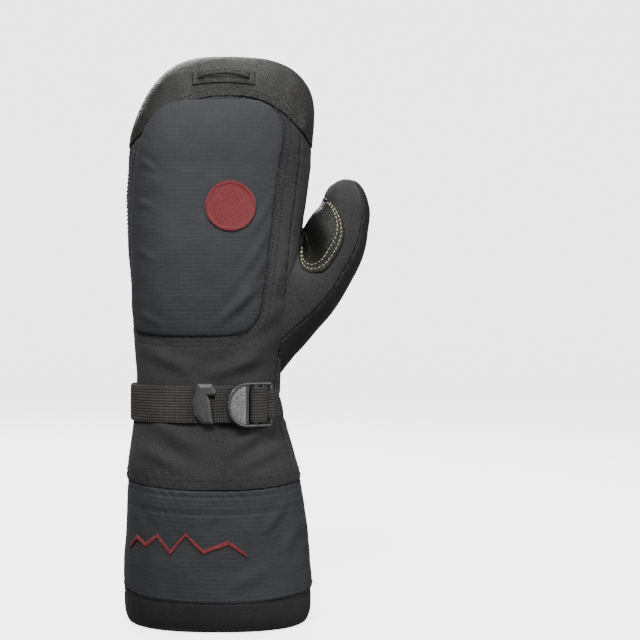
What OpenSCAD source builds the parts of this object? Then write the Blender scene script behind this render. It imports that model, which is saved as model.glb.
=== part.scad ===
// Ski mitten for the left hand, standing on its cuff with the fingertips up.
// X runs from the little-finger side to the thumb side, -Y is the back of the hand,
// +Y is the palm, and Z = 0 is the plane of the hem. The origin is the middle of the cuff's mouth.

/* [Gauntlet] */
// Width of the hem, little-finger side to thumb side
hem_w = 104; // [98:1:110]
// Depth of the hem, back to palm
hem_d = 77; // [72:1:82]
// Height of the stretch hem band
hem_h = 16.5; // [14:0.5:20]
// Height of the seam between the gauntlet and its casing
gauntlet_top = 75; // [70:1:77]
// Height of the folded casing above the gauntlet
casing_h = 6; // [4:0.5:8]

/* [Wrist] */
// Width at the wrist strap
wrist_w = 80.6; // [76:0.2:86]
// Depth at the wrist strap
wrist_d = 57; // [54:1:62]
// Height at which the hand part begins
hand_z = 107; // [104:1:109]

/* [Hand] */
// Width across the fingers
hand_w = 102.4; // [98:0.2:108]
// Depth across the fingers
hand_d = 55; // [52:1:58]
// Height at which the fingertips start to round over
dome_z = 252; // [248:1:256]
// Height of the rounded fingertips
dome_h = 63; // [58:1:66]
// How far the fingertips lean towards the palm
finger_lean = 9; // [5:0.5:12]

/* [Layers] */
// Thickness of the outer fabric and leather
skin_t = 1.2; // [1:0.1:1.4]
// Thickness of the waterproof insert
insert_t = 0.6; // [0.5:0.1:0.8]
// Thickness of the insulation
fill_t = 3.6; // [3:0.2:4]
// Thickness of the fleece lining
lining_t = 1.2; // [0.8:0.1:1.4]
// Space between one layer and the next
layer_gap = 0.2; // [0.1:0.05:0.3]

/* [Strap and buckle] */
// Width of the webbing
web_w = 20; // [18:1:22]
// Thickness of the webbing
web_t = 1.4; // [1.2:0.1:1.6]
// Height of the middle of the strap
strap_z = 121; // [119:1:122]
// Length of the ladder-lock buckle
buckle_l = 26; // [25:0.5:27]
// Thickness of the buckle's frame
buckle_t = 2.6; // [2.2:0.1:3]
// Thickness of the moulded pull at the strap's end
pull_t = 3; // [2.4:0.2:3.6]

/* [Thumb] */
// Half depth of the thumb where it leaves the hand
thumb_root_d = 19.5; // [18:0.5:20]
// Half depth of the thumb below its tip
thumb_tip_d = 15; // [13:0.5:16]
// Height of the thumb's rounded tip
thumb_dome_h = 20; // [17:0.5:22]

/* [Hidden] */

// Insets of each layer's outer face from the outside of the mitten
seam_room = 0.8;       // space for seam allowances between the outer panels and the insert
insert_in = skin_t + seam_room;
fill_in = insert_in + insert_t + layer_gap;
lining_in = fill_in + fill_t + layer_gap;
lining_end = lining_in + lining_t;
cuff_in = skin_t + layer_gap;
cuff_end = cuff_in + lining_t;
seam_gap = 0.15;       // space between two panels at a seam, in mm and in degrees
clear = 0.35;          // space between pieces that move against each other

// Sections of the mitten's outside: height, middle in X, middle in Y, half width, half depth
sections = [
    [0, 1.4, 0, hem_w / 2, hem_d / 2],
    [hem_h, 1.3, 0, hem_w / 2 + 0.2, hem_d / 2 + 0.3],
    [48, 0.8, 0, hem_w / 2 - 0.8, hem_d / 2 - 1],
    [gauntlet_top, -0.7, 0, hem_w / 2 - 3.5, hem_d / 2 - 3],
    [98, -2.4, 0, wrist_w / 2 + 4.3, wrist_d / 2 + 3.8],
    [strap_z, -3.9, 0, wrist_w / 2, wrist_d / 2 + 0.3],
    [136, -3.7, 0, wrist_w / 2 + 0.2, wrist_d / 2],
    [156, -2.7, 0.3, wrist_w / 2 + 2.4, wrist_d / 2 + 0.6],
    [178, -1.2, 0.8, hand_w / 2 - 6, hand_d / 2 + 2.3],
    [200, -0.6, 1.5, hand_w / 2 - 3.6, hand_d / 2 + 2],
    [218, -0.3, 2.3, hand_w / 2 - 2.1, hand_d / 2 + 1.4],
    [234, 0.6, 3.2, hand_w / 2 - 0.8, hand_d / 2 + 0.6],
    [dome_z, 2.2, 4.2, hand_w / 2, hand_d / 2]
];
ring_power = 2.4;      // superellipse power of every section
dome_power_w = 3;      // roundness of the fingertips seen from the back
dome_power_d = 2.2;    // roundness of the fingertips seen from the side
dome_drift = [20, -15]; // sideways drift of the fingertips: squared and fourth-power terms
dome_end = 86;         // turn at which the fingertips are closed by a small lid

// Angles run around the mitten from the thumb side over the back
half_steps = 14;        // columns in half a turn
seam_thumb = 25;       // side seam on the thumb side
seam_little = 205;     // side seam on the little-finger side
all_round = [for (i = [0:2 * half_steps - 1]) seam_thumb + i * 180 / half_steps];
back_angles = span(seam_thumb, seam_little, half_steps);
palm_angles = [
    seam_little + seam_gap, for (i = [1:half_steps - 1]) seam_little + i * 180 / half_steps,
    seam_thumb + 360 - seam_gap
];
palm_z = 150;          // height of the seam between the gathered wrist and the palm
hand_heights = [hand_z, strap_z, 136, palm_z, 166, 184, 202, 218, 234, dome_z];
dome_turns = [14, 30, 46, 62, 76, dome_end];

// Sections of the thumb: crotch side X and Z, outer side X and Z, half depth
thumb_sections = [
    [43, 216.5, 35, 135, thumb_root_d],
    [49, 218, 62, 166.3, thumb_root_d + 0.5],
    [52, 221.5, 75.5, 186, thumb_root_d - 0.5],
    [55.8, 226, 83, 202, thumb_tip_d + 2],
    [60.5, 232, 86, 218, thumb_tip_d]
];
thumb_round = [for (i = [0:17]) i * 20];
thumb_turns = [20, 40, 58, 74, dome_end];
thumb_power = 2.2;
thumb_drift = [2, 18];   // X drift of the tip's middle, and how far its section line levels out
gusset_rows = span(0, 1.38, 4);
thumb_rows = span(1.45, 4, 6);

// The strap and its buckle, in plan
strap_out = 0.2;                       // space between the strap and the shell
strap_low = strap_z - web_w / 2;
pivot = [30, -27.4];                   // the buckle's end bar
buckle_slope = 24;                     // how far the buckle follows the wrist's curve
bar_r = 1.3;
anchor_w = 15;
rail_w = 1.4;
tail_y = -section_at(strap_low)[4] - strap_out - web_t - clear;
tail_x = [1.4, 12.5];

function last(list) = list[len(list) - 1];
function mix(a, b, t) = a + (b - a) * t;
function span(a, b, n) = [for (i = [0:n]) mix(a, b, i / n)];
function below(z, i = 0) = (i >= len(sections) - 2 || z < sections[i + 1][0]) ? i : below(z, i + 1);
function slope(i, k) =
    let (a = max(i - 1, 0), b = min(i + 1, len(sections) - 1))
    (sections[b][k] - sections[a][k]) / (sections[b][0] - sections[a][0]);
function eased(z, k) =
    let (i = below(z), h = sections[i + 1][0] - sections[i][0], t = (z - sections[i][0]) / h)
    sections[i][k] * (2 * t * t * t - 3 * t * t + 1) + slope(i, k) * h * (t * t * t - 2 * t * t + t)
    + sections[i + 1][k] * (3 * t * t - 2 * t * t * t) + slope(i + 1, k) * h * (t * t * t - t * t);
function section_at(z) = [z, eased(z, 1), eased(z, 2), eased(z, 3), eased(z, 4)];
function round_off(s, power) = pow(1 - pow(s, power), 1 / power);
function dome_section(turn, inset) =
    let (base = last(sections), s = sin(turn))
    [
        dome_z + (dome_h - inset) * s, base[1] + dome_drift[0] * pow(s, 2) + dome_drift[1] * pow(s, 4),
        mix(base[2], finger_lean, s * s),
        (base[3] - inset) * round_off(s, dome_power_w) + inset,
        (base[4] - inset) * round_off(s, dome_power_d) + inset
    ];
function bow(c, r, power) = r * sign(c) * pow(abs(c), 2 / power);

// A level is a height up to dome_z, and dome_z plus a turn in degrees above it
function level_of(z) = z <= dome_z ? z : dome_z + asin((z - dome_z) / dome_h);
function level_section(level, inset) = level <= dome_z ? section_at(level) : dome_section(level - dome_z, inset);
function hand_point(angle, level, inset) =
    let (f = level_section(level, inset))
    [f[1] + bow(cos(angle), f[3] - inset, ring_power), f[2] - bow(sin(angle), f[4] - inset, ring_power), f[0]];
function hand_grid(angles, levels, inset) = [for (v = levels) [for (a = angles) hand_point(a, v, inset)]];

// The strap is stiff: its whole width follows the section at its lower edge
function strap_grid(angles, levels, out) = [for (z = levels) [for (a = angles)
    let (p = hand_point(a, strap_low, -out)) [p[0], p[1], z]]];

// The seam under the fingertip cap: high over the back and the palm, low at both sides
function cap_level(angle) =
    dome_z + 16 + (sin(angle) > 0 ? 22 * pow(sin(angle), 1.3) : 42 * pow(-sin(angle), 0.7));
function seam_grid(angles, heights, inset) = concat(
    hand_grid(angles, heights, inset),
    [for (t = [1:3]) [for (a = angles) hand_point(a, mix(dome_z, cap_level(a) - seam_gap, t / 3), inset)]]
);

// The back of the mitten's outside at a place seen from the back
function back_y(x, z, out) =
    let (f = level_section(level_of(z), 0))
    f[2] - out - f[4] * round_off(min(abs(x - f[1]) / f[3], 1), ring_power);

// The thumb's outside: row runs from 0 at the window to 4, and angle 0 is its outer edge
function thumb_section(row) =
    let (i = min(floor(row), len(thumb_sections) - 2), t = row - i)
    mix(thumb_sections[i], thumb_sections[i + 1], t);
function thumb_spot(f, angle, half_w, half_d) =
    let (dir = [f[2] - f[0], f[3] - f[1]] / norm([f[2] - f[0], f[3] - f[1]]))
    let (w = bow(cos(angle), half_w, thumb_power))
    [(f[0] + f[2]) / 2 + dir[0] * w, -bow(sin(angle), half_d, thumb_power), (f[1] + f[3]) / 2 + dir[1] * w];
function thumb_point(angle, row, inset) =
    let (f = thumb_section(row), half = norm([f[2] - f[0], f[3] - f[1]]) / 2)
    thumb_spot(f, angle, half - inset, f[4] - inset);
function thumb_tip_point(angle, turn, inset) =
    let (
        f = last(thumb_sections), s = sin(turn), half = norm([f[2] - f[0], f[3] - f[1]]) / 2,
        lean = atan2(f[3] - f[1], f[2] - f[0]) + thumb_drift[1] * s, rise = (thumb_dome_h - inset) * s,
        mid = [(f[0] + f[2]) / 2 + thumb_drift[0] * s, (f[1] + f[3]) / 2 + rise],
        w = bow(cos(angle), (half - inset) * round_off(s, 2), thumb_power)
    )
    [
        mid[0] + w * cos(lean), -bow(sin(angle), (f[4] - inset) * round_off(s, 2), thumb_power),
        mid[1] + w * sin(lean)
    ];
function thumb_grid(angles, rows, turns, inset) = concat(
    [for (v = rows) [for (a = angles) thumb_point(a, v, inset)]],
    [for (t = turns) [for (a = angles) thumb_tip_point(a, t, inset)]]
);

// A thick sheet between an outer and an inner grid of points, with its edges closed.
// loop joins the last column to the first, and lid closes both grids over the last row.
module sheet(outer, inner, loop = false, lid = false) {
    rows = len(outer);
    cols = len(outer[0]);
    steps = loop ? cols : cols - 1;
    function id(side, v, u) = side * rows * cols + v * cols + u % cols;
    function quad(a, b, c, d) = [[a, b, c], [a, c, d]];
    faces = [
        for (v = [0:rows - 2]) for (u = [0:steps - 1]) each concat(
            quad(id(0, v, u), id(0, v, u + 1), id(0, v + 1, u + 1), id(0, v + 1, u)),
            quad(id(1, v + 1, u), id(1, v + 1, u + 1), id(1, v, u + 1), id(1, v, u))
        ),
        for (u = [0:steps - 1]) each quad(id(0, 0, u), id(1, 0, u), id(1, 0, u + 1), id(0, 0, u + 1)),
        if (!lid) for (u = [0:steps - 1])
            each quad(id(0, rows - 1, u), id(0, rows - 1, u + 1), id(1, rows - 1, u + 1), id(1, rows - 1, u)),
        if (lid) for (u = [1:cols - 2]) each [
            [id(0, rows - 1, 0), id(0, rows - 1, u), id(0, rows - 1, u + 1)],
            [id(1, rows - 1, 0), id(1, rows - 1, u + 1), id(1, rows - 1, u)]
        ],
        if (!loop) for (v = [0:rows - 2]) each concat(
            quad(id(0, v, 0), id(0, v + 1, 0), id(1, v + 1, 0), id(1, v, 0)),
            quad(id(1, v, cols - 1), id(1, v + 1, cols - 1), id(0, v + 1, cols - 1), id(0, v, cols - 1))
        )
    ];
    polyhedron(points = [for (grid = [outer, inner]) for (row = grid) each row], faces = faces, convexity = 8);
}

// A tube, or part of one, along the mitten's outside
module wall(angles, levels, inset, thick, loop = false) {
    sheet(hand_grid(angles, levels, inset), hand_grid(angles, levels, inset + thick), loop);
}

// A whole inner layer of the hand, with the thumb's window
module hand_layer(inset, thick) {
    levels = concat(hand_heights, [for (t = dome_turns) dome_z + t]);
    difference() {
        sheet(hand_grid(all_round, levels, inset), hand_grid(all_round, levels, inset + thick), true, true);
        thumb_window();
    }
}

// A whole inner layer of the thumb
module thumb_layer(inset, thick) {
    sheet(
        thumb_grid(thumb_round, thumb_rows, thumb_turns, inset),
        thumb_grid(thumb_round, thumb_rows, thumb_turns, inset + thick), true, true
    );
}

// One panel of the thumb's outside
module thumb_panel(from, to) {
    angles = span(from + seam_gap, to - seam_gap, ceil((to - from) / 20));
    sheet(
        thumb_grid(angles, thumb_rows, thumb_turns, 0),
        thumb_grid(angles, thumb_rows, thumb_turns, skin_t)
    );
}

// The thumb's window in the hand: the thumb's own outline, a little larger and run inwards
module thumb_window() {
    inward = [-12, 0, 0];
    rows = [0, 0.4, 0.8, 1.2];
    rim = thumb_grid(thumb_round, rows, [], -clear);
    grid = concat([[for (p = rim[0]) p + inward]], rim);
    cols = len(thumb_round);
    sides = [for (v = [0:len(rows) - 1]) for (u = [0:cols - 1])
        let (a = v * cols + u, b = v * cols + (u + 1) % cols) each [[a, b, b + cols], [a, b + cols, a + cols]]];
    near = [for (u = [1:cols - 2]) [0, u + 1, u]];
    far = [for (u = [1:cols - 2]) [len(rows) * cols, len(rows) * cols + u, len(rows) * cols + u + 1]];
    polyhedron(points = [for (row = grid) each row], faces = concat(sides, near, far), convexity = 4);
}

// Gauntlet

module hem_band() {
    color([0.16, 0.16, 0.17]) linear_extrude(hem_h - seam_gap) difference() {
        polygon([for (p = hand_grid(all_round, [0], 0)[0]) [p[0], p[1]]]);
        polygon([for (p = hand_grid(all_round, [0], cuff_end)[0]) [p[0], p[1]]]);
    }
}

module gauntlet_shell() {
    color([0.26, 0.26, 0.27]) wall(all_round, [hem_h, 30, 48, 62, gauntlet_top], 0, skin_t, true);
}

module gauntlet_lining() {
    lining_top = gauntlet_top + casing_h - 0.2;
    color([0.2, 0.2, 0.22]) wall(all_round, [hem_h, 30, 48, 62, gauntlet_top, lining_top], cuff_in, lining_t, true);
}

module cuff_casing() {
    fold = 0.6;
    levels = [gauntlet_top + seam_gap, gauntlet_top + casing_h];
    color([0.24, 0.24, 0.25]) wall(all_round, levels, -fold, skin_t + fold, true);
}

// A stitched ridge line in place of lettering
module gauntlet_mark() {
    peaks = [40, 47, 42, 51, 41, 49, 43, 46, 40];
    stroke = 2.4;
    angles = span(76, 152, len(peaks) - 1);
    function ridge(out, up) = [for (i = [0:len(peaks) - 1]) hand_point(angles[i], peaks[i] + up, -out)];
    color([0.6, 0.28, 0.3]) sheet([ridge(0.9, 0), ridge(0.9, stroke)], [ridge(0.1, 0), ridge(0.1, stroke)]);
}

module wrist_sleeve() {
    levels = span(gauntlet_top + casing_h + 0.3, hand_z - 0.3, 4);
    color([0.2, 0.2, 0.21]) wall(all_round, levels, 0, skin_t, true);
}

module wrist_lining() {
    levels = span(gauntlet_top + casing_h + 0.3, hand_z - 0.3, 4);
    color([0.2, 0.2, 0.22]) wall(all_round, levels, cuff_in, lining_t, true);
}

// Outer panels of the hand

module back_shell() {
    color([0.22, 0.22, 0.23]) difference() {
        sheet(seam_grid(back_angles, hand_heights, 0), seam_grid(back_angles, hand_heights, skin_t));
        thumb_window();
    }
}

module wrist_gather_panel() {
    levels = [hand_z, 114, strap_z, 128, 136, palm_z - seam_gap];
    color([0.19, 0.19, 0.2]) difference() {
        wall(palm_angles, levels, 0, skin_t);
        thumb_window();
    }
}

module palm_leather() {
    heights = [for (z = hand_heights) if (z >= palm_z) z];
    color([0.31, 0.31, 0.29]) difference() {
        sheet(seam_grid(palm_angles, heights, 0), seam_grid(palm_angles, heights, skin_t));
        thumb_window();
    }
}

module fingertip_cap() {
    function cap(inset) = [for (t = [0:5])
        [for (a = all_round) hand_point(a, mix(cap_level(a), dome_z + dome_end, t / 5), inset)]];
    color([0.33, 0.33, 0.31]) sheet(cap(0), cap(skin_t), true, true);
}

// Inner layers of the hand

module waterproof_insert() {
    color([0.85, 0.87, 0.9, 0.8]) hand_layer(insert_in, insert_t);
}

module insulation() {
    color([0.9, 0.9, 0.86]) hand_layer(fill_in, fill_t);
}

module hand_lining() {
    color([0.2, 0.2, 0.22]) hand_layer(lining_in, lining_t);
}

module wrist_elastic() {
    band_t = 0.8;
    color([0.1, 0.1, 0.1]) wall(span(212, 328, 8), [114, 126], lining_end + 0.5, band_t);
}

// Pieces on the hand

// Outer edges of the padded panel at a height
function pad_right(z) = mix(72, 50, min(1, (z - 161) / 60));
function pad_left(z) = mix(164, 152, (z - 161) / 128);
function pad_puff(u, v) = pow(max(0, 1 - pow(abs(2 * u - 1), 5)), 0.5) * pow(max(0, 1 - pow(abs(2 * v - 1), 7)), 0.5);
function pad_grid(out, rise) = [for (v = span(0, 1, 12)) let (z = mix(161, 289, v)) [
    for (u = span(0, 1, 10))
        hand_point(mix(pad_right(z), pad_left(z), u), level_of(z), -out - rise * pad_puff(u, v))
]];
pad_rise = 2.2;
pad_out = 0.5;
cover_out = 1.4;
cover_t = 0.7;

module back_pad_foam() {
    color([0.85, 0.85, 0.8]) sheet(pad_grid(0.9, pad_rise), pad_grid(pad_out, 0));
}

module back_pad_cover() {
    color([0.27, 0.27, 0.29]) sheet(pad_grid(cover_out + cover_t, pad_rise), pad_grid(cover_out, pad_rise));
}

// Round embroidered badge in the middle of the padded panel
module round_badge() {
    middle = [8.3, 227.5];
    radius = 14;
    badge_t = 0.8;
    lift = cover_out + cover_t + pad_rise + 0.1;
    function disc(out) = [for (r = [radius, 1]) [for (a = span(0, 330, 11))
        let (x = middle[0] + r * cos(a), z = middle[1] - r * sin(a)) [x, back_y(x, z, lift + out), z]]];
    color([0.6, 0.28, 0.3]) sheet(disc(badge_t), disc(0.05), true, true);
}

module hanging_loop() {
    arch = 2.6;
    strip_t = 0.9;
    function strip(out, z) = [for (i = [0:12])
        let (x = mix(-11, 19, i / 12), rise = abs(i - 6) < 5 ? arch * sin(18 * (i - 1)) : 0)
        [x, back_y(x, z, out + rise), z]];
    color([0.3, 0.3, 0.28]) sheet(
        [for (z = [305, 301, 297.5]) strip(0.4 + strip_t, z)], [for (z = [305, 301, 297.5]) strip(0.4, z)]
    );
}

module index_patch() {
    color([0.3, 0.3, 0.28]) wall(span(298, 340, 5), [224.5, 234, 246, 251.5], -1.4, 0.9);
}

// Wrist strap

module strap_webbing() {
    levels = [strap_z - web_w / 2, strap_z, strap_z + web_w / 2];
    angles = span(63, 200, 14);
    color([0.24, 0.23, 0.22])
        sheet(strap_grid(angles, levels, strap_out + web_t), strap_grid(angles, levels, strap_out));
}

// Puts a flat plan of the buckle, drawn with X towards its tip, at its pivot
module on_buckle() {
    translate([pivot[0], pivot[1], strap_z]) rotate([0, 0, 180 + buckle_slope]) rotate([90, 0, 0]) children();
}

module ladder_lock() {
    half = web_w / 2 + 0.6 + rail_w;
    slots = [[-bar_r, 3.8], [5.4, 7.6], [10.6, 13.6]];
    plate_x = buckle_l - half;
    color([0.5, 0.5, 0.5]) on_buckle() union() {
        difference() {
            translate([0, 0, -buckle_t / 2]) linear_extrude(buckle_t) union() {
                translate([0, -half]) square([plate_x, 2 * half]);
                translate([plate_x, 0]) circle(r = half, $fn = 64);
            }
            for (s = slots)
                translate([s[0], -half + rail_w, -buckle_t]) cube([s[1] - s[0], 2 * (half - rail_w), 2 * buckle_t]);
        }
        translate([0, half, 0]) rotate([90, 0, 0]) cylinder(r = bar_r, h = 2 * half, $fn = 32);
    }
}

// The webbing's turn over the middle bar of the buckle
module strap_over_bar() {
    fold_t = 1.2;
    low = [7.6 - 0.4 - fold_t, -buckle_t / 2 - 0.4 - fold_t];
    high = [10.6 + 0.4 + fold_t, buckle_t / 2 + 0.8];
    color([0.24, 0.23, 0.22]) on_buckle() translate([0, web_w / 2, 0]) rotate([90, 0, 0]) linear_extrude(web_w) difference() {
        translate(low) square(high - low);
        translate([low[0] + fold_t, low[1] + fold_t]) square([high[0] - low[0] - 2 * fold_t, high[1] - low[1]]);
    }
}

// Short webbing loop that holds the buckle's end bar and is sewn to the side of the wrist
module buckle_anchor() {
    ring_r = bar_r + clear;
    anchor_t = 1.1;
    anchor_run = 10.5;   // from the buckle's bar to the side of the wrist
    anchor_turn = 76;
    levels = [strap_z - anchor_w / 2, strap_z + anchor_w / 2];
    angles = span(-14, 34, 5);
    color([0.24, 0.23, 0.22]) union() {
        translate([pivot[0], pivot[1], levels[0]]) linear_extrude(anchor_w) difference() {
            union() {
                circle(r = ring_r + anchor_t, $fn = 48);
                rotate([0, 0, anchor_turn]) translate([0, -ring_r - anchor_t + 0.1]) square([anchor_run, anchor_t - 0.2]);
            }
            circle(r = ring_r, $fn = 48);
        }
        sheet(strap_grid(angles, levels, strap_out + anchor_t), strap_grid(angles, levels, strap_out));
    }
}

module strap_tail() {
    tail_t = 1.2;
    color([0.2, 0.19, 0.18]) translate([tail_x[0], tail_y - tail_t, strap_z - web_w / 2 + 0.5])
        cube([tail_x[1] - tail_x[0], tail_t, web_w - 1]);
}

// Moulded pull at the end of the strap: an upper hook for a finger over a sloping lower wing
module strap_end_pull() {
    hook = [[1, 7], [-1.2, 11.4], [-9.3, 11.4], [-12, 0.5]];
    wing = [[-11, -5.4], [-6.6, -10.3], [-0.7, -10.3], [-2.3, 1.6]];
    notch = [[-3.9, 4.9], [-0.1, 4.9]];
    color([0.3, 0.3, 0.3]) translate([0, tail_y, strap_z]) rotate([90, 0, 0])
        linear_extrude(pull_t) polygon(concat(hook, wing, notch));
}

// Thumb

module thumb_gusset() {
    color([0.2, 0.2, 0.21]) sheet(
        thumb_grid(thumb_round, gusset_rows, [], 0), thumb_grid(thumb_round, gusset_rows, [], skin_t), true
    );
}

module thumb_gusset_lining() {
    color([0.2, 0.2, 0.22]) sheet(
        thumb_grid(thumb_round, gusset_rows, [], lining_in),
        thumb_grid(thumb_round, gusset_rows, [], lining_end), true
    );
}

module thumb_back_panel() {
    color([0.25, 0.25, 0.26]) thumb_panel(38, 170);
}

module thumb_palm_panel() {
    color([0.31, 0.31, 0.29]) thumb_panel(170, 320);
}

module thumb_side_strip() {
    color([0.12, 0.12, 0.13]) thumb_panel(-40, 38);
}

module thumb_patch() {
    function leaf(out) = [for (v = span(0.06, 0.94, 6))
        [for (u = span(-1, 1, 6)) thumb_point(158 + 62 * u * pow(sin(180 * v), 0.6), mix(1.5, 4, v), -out)]];
    color([0.31, 0.31, 0.29]) sheet(leaf(1.4), leaf(0.5));
}

module thumb_insert() {
    color([0.85, 0.87, 0.9, 0.8]) thumb_layer(insert_in, insert_t);
}

module thumb_insulation() {
    color([0.9, 0.9, 0.86]) thumb_layer(fill_in, fill_t);
}

module thumb_lining() {
    color([0.2, 0.2, 0.22]) thumb_layer(lining_in, lining_t);
}

hem_band();
gauntlet_shell();
gauntlet_lining();
cuff_casing();
gauntlet_mark();
wrist_sleeve();
wrist_lining();
back_shell();
wrist_gather_panel();
palm_leather();
fingertip_cap();
waterproof_insert();
insulation();
hand_lining();
wrist_elastic();
back_pad_foam();
back_pad_cover();
round_badge();
hanging_loop();
index_patch();
strap_webbing();
buckle_anchor();
ladder_lock();
strap_over_bar();
strap_tail();
strap_end_pull();
thumb_gusset();
thumb_gusset_lining();
thumb_back_panel();
thumb_palm_panel();
thumb_side_strip();
thumb_patch();
thumb_insert();
thumb_insulation();
thumb_lining();
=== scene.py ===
import logging
import math
from dataclasses import dataclass, field
from enum import Enum
from typing import Callable, Iterable, Optional, Sequence

import bpy
import numpy as np
from mathutils import Matrix, Vector
from mathutils.bvhtree import BVHTree


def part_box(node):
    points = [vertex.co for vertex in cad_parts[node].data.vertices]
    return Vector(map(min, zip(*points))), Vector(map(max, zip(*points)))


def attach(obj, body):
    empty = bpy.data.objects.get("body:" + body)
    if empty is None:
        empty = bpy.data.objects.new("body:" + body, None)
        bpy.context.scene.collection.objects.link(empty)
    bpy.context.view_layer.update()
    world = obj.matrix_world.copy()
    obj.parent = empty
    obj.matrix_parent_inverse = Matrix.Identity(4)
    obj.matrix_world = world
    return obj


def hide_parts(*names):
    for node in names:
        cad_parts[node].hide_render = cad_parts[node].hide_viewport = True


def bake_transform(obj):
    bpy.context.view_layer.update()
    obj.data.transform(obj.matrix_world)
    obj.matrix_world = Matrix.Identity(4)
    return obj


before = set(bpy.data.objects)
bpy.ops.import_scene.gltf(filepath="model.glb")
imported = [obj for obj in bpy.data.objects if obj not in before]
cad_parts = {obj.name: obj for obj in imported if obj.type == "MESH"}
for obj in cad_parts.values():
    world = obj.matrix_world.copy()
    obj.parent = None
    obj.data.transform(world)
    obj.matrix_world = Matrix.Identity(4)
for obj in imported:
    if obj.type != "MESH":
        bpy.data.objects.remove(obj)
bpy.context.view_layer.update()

LOG = logging.getLogger("mitten")
MM = 0.001
UV_UNIT = 100.0  # millimetres of cloth in one unit of a fabric map
Array = np.ndarray


class Body(Enum):
    """The rigid groups that the mitten's pieces ride on."""

    GAUNTLET = "gauntlet"
    HAND = "hand"
    THUMB = "thumb"
    BUCKLE = "buckle"
    STRAP_END = "strap_end"


class Edge(Enum):
    """The four edges of a panel seen from outside, columns running away from the thumb."""

    FIRST = "first"
    LAST = "last"
    LOW = "low"
    HIGH = "high"


# --------------------------------------------------------------------------- numbers


def lattice_value(ix: Array, iy: Array, iz: Array, seed: int) -> Array:
    """Gives every lattice cell a fixed value.

    Args:
        ix: cell numbers along X.
        iy: cell numbers along Y.
        iz: cell numbers along Z.
        seed: which pattern.
    Returns:
        Values from -1 to 1.
    """
    mask = np.int64(0x7FFFFFFF)
    h = (ix * 73856093) ^ (iy * 19349663) ^ (iz * 83492791) ^ np.int64(seed * 2654435)
    h = (h & mask) * 1103515245 + 12345
    h = ((h >> 7) ^ h) & mask
    h = (h * 69069 + 1) & mask
    return h.astype(float) / float(mask) * 2.0 - 1.0


def smooth_noise(points: Array, size: float, seed: int) -> Array:
    """Soft value noise.

    Args:
        points: places, the last axis holding two or three coordinates in millimetres.
        size: width of a bump in millimetres.
        seed: which pattern.
    Returns:
        Values from -1 to 1, one for each place.
    """
    p = np.asarray(points, float) / size
    if p.shape[-1] == 2:
        p = np.concatenate([p, np.zeros(p.shape[:-1] + (1,))], axis=-1)
    cell = np.floor(p).astype(np.int64)
    t = p - cell
    t = t * t * (3.0 - 2.0 * t)
    total = np.zeros(p.shape[:-1])
    for dx in (0, 1):
        for dy in (0, 1):
            for dz in (0, 1):
                weight = (t[..., 0] if dx else 1 - t[..., 0])
                weight = weight * (t[..., 1] if dy else 1 - t[..., 1])
                weight = weight * (t[..., 2] if dz else 1 - t[..., 2])
                total += weight * lattice_value(
                    cell[..., 0] + dx, cell[..., 1] + dy, cell[..., 2] + dz, seed
                )
    return total


def layered_noise(points: Array, size: float, seed: int, layers: int = 3) -> Array:
    """Adds finer and finer noise.

    Args:
        points: places in millimetres.
        size: width of the widest bump.
        seed: which pattern.
        layers: how many sizes are added, each half as wide and half as high.
    Returns:
        Values from about -1 to 1.
    """
    total = sum(smooth_noise(points, size / 2**k, seed + 7 * k) / 2**k for k in range(layers))
    return total / 1.5


def smoothstep(low: float, high: float, x: Array) -> Array:
    """Rises smoothly from 0 at low to 1 at high."""
    t = np.clip((x - low) / (high - low), 0.0, 1.0)
    return t * t * (3.0 - 2.0 * t)


# --------------------------------------------------------------------------- the mitten's form


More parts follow.
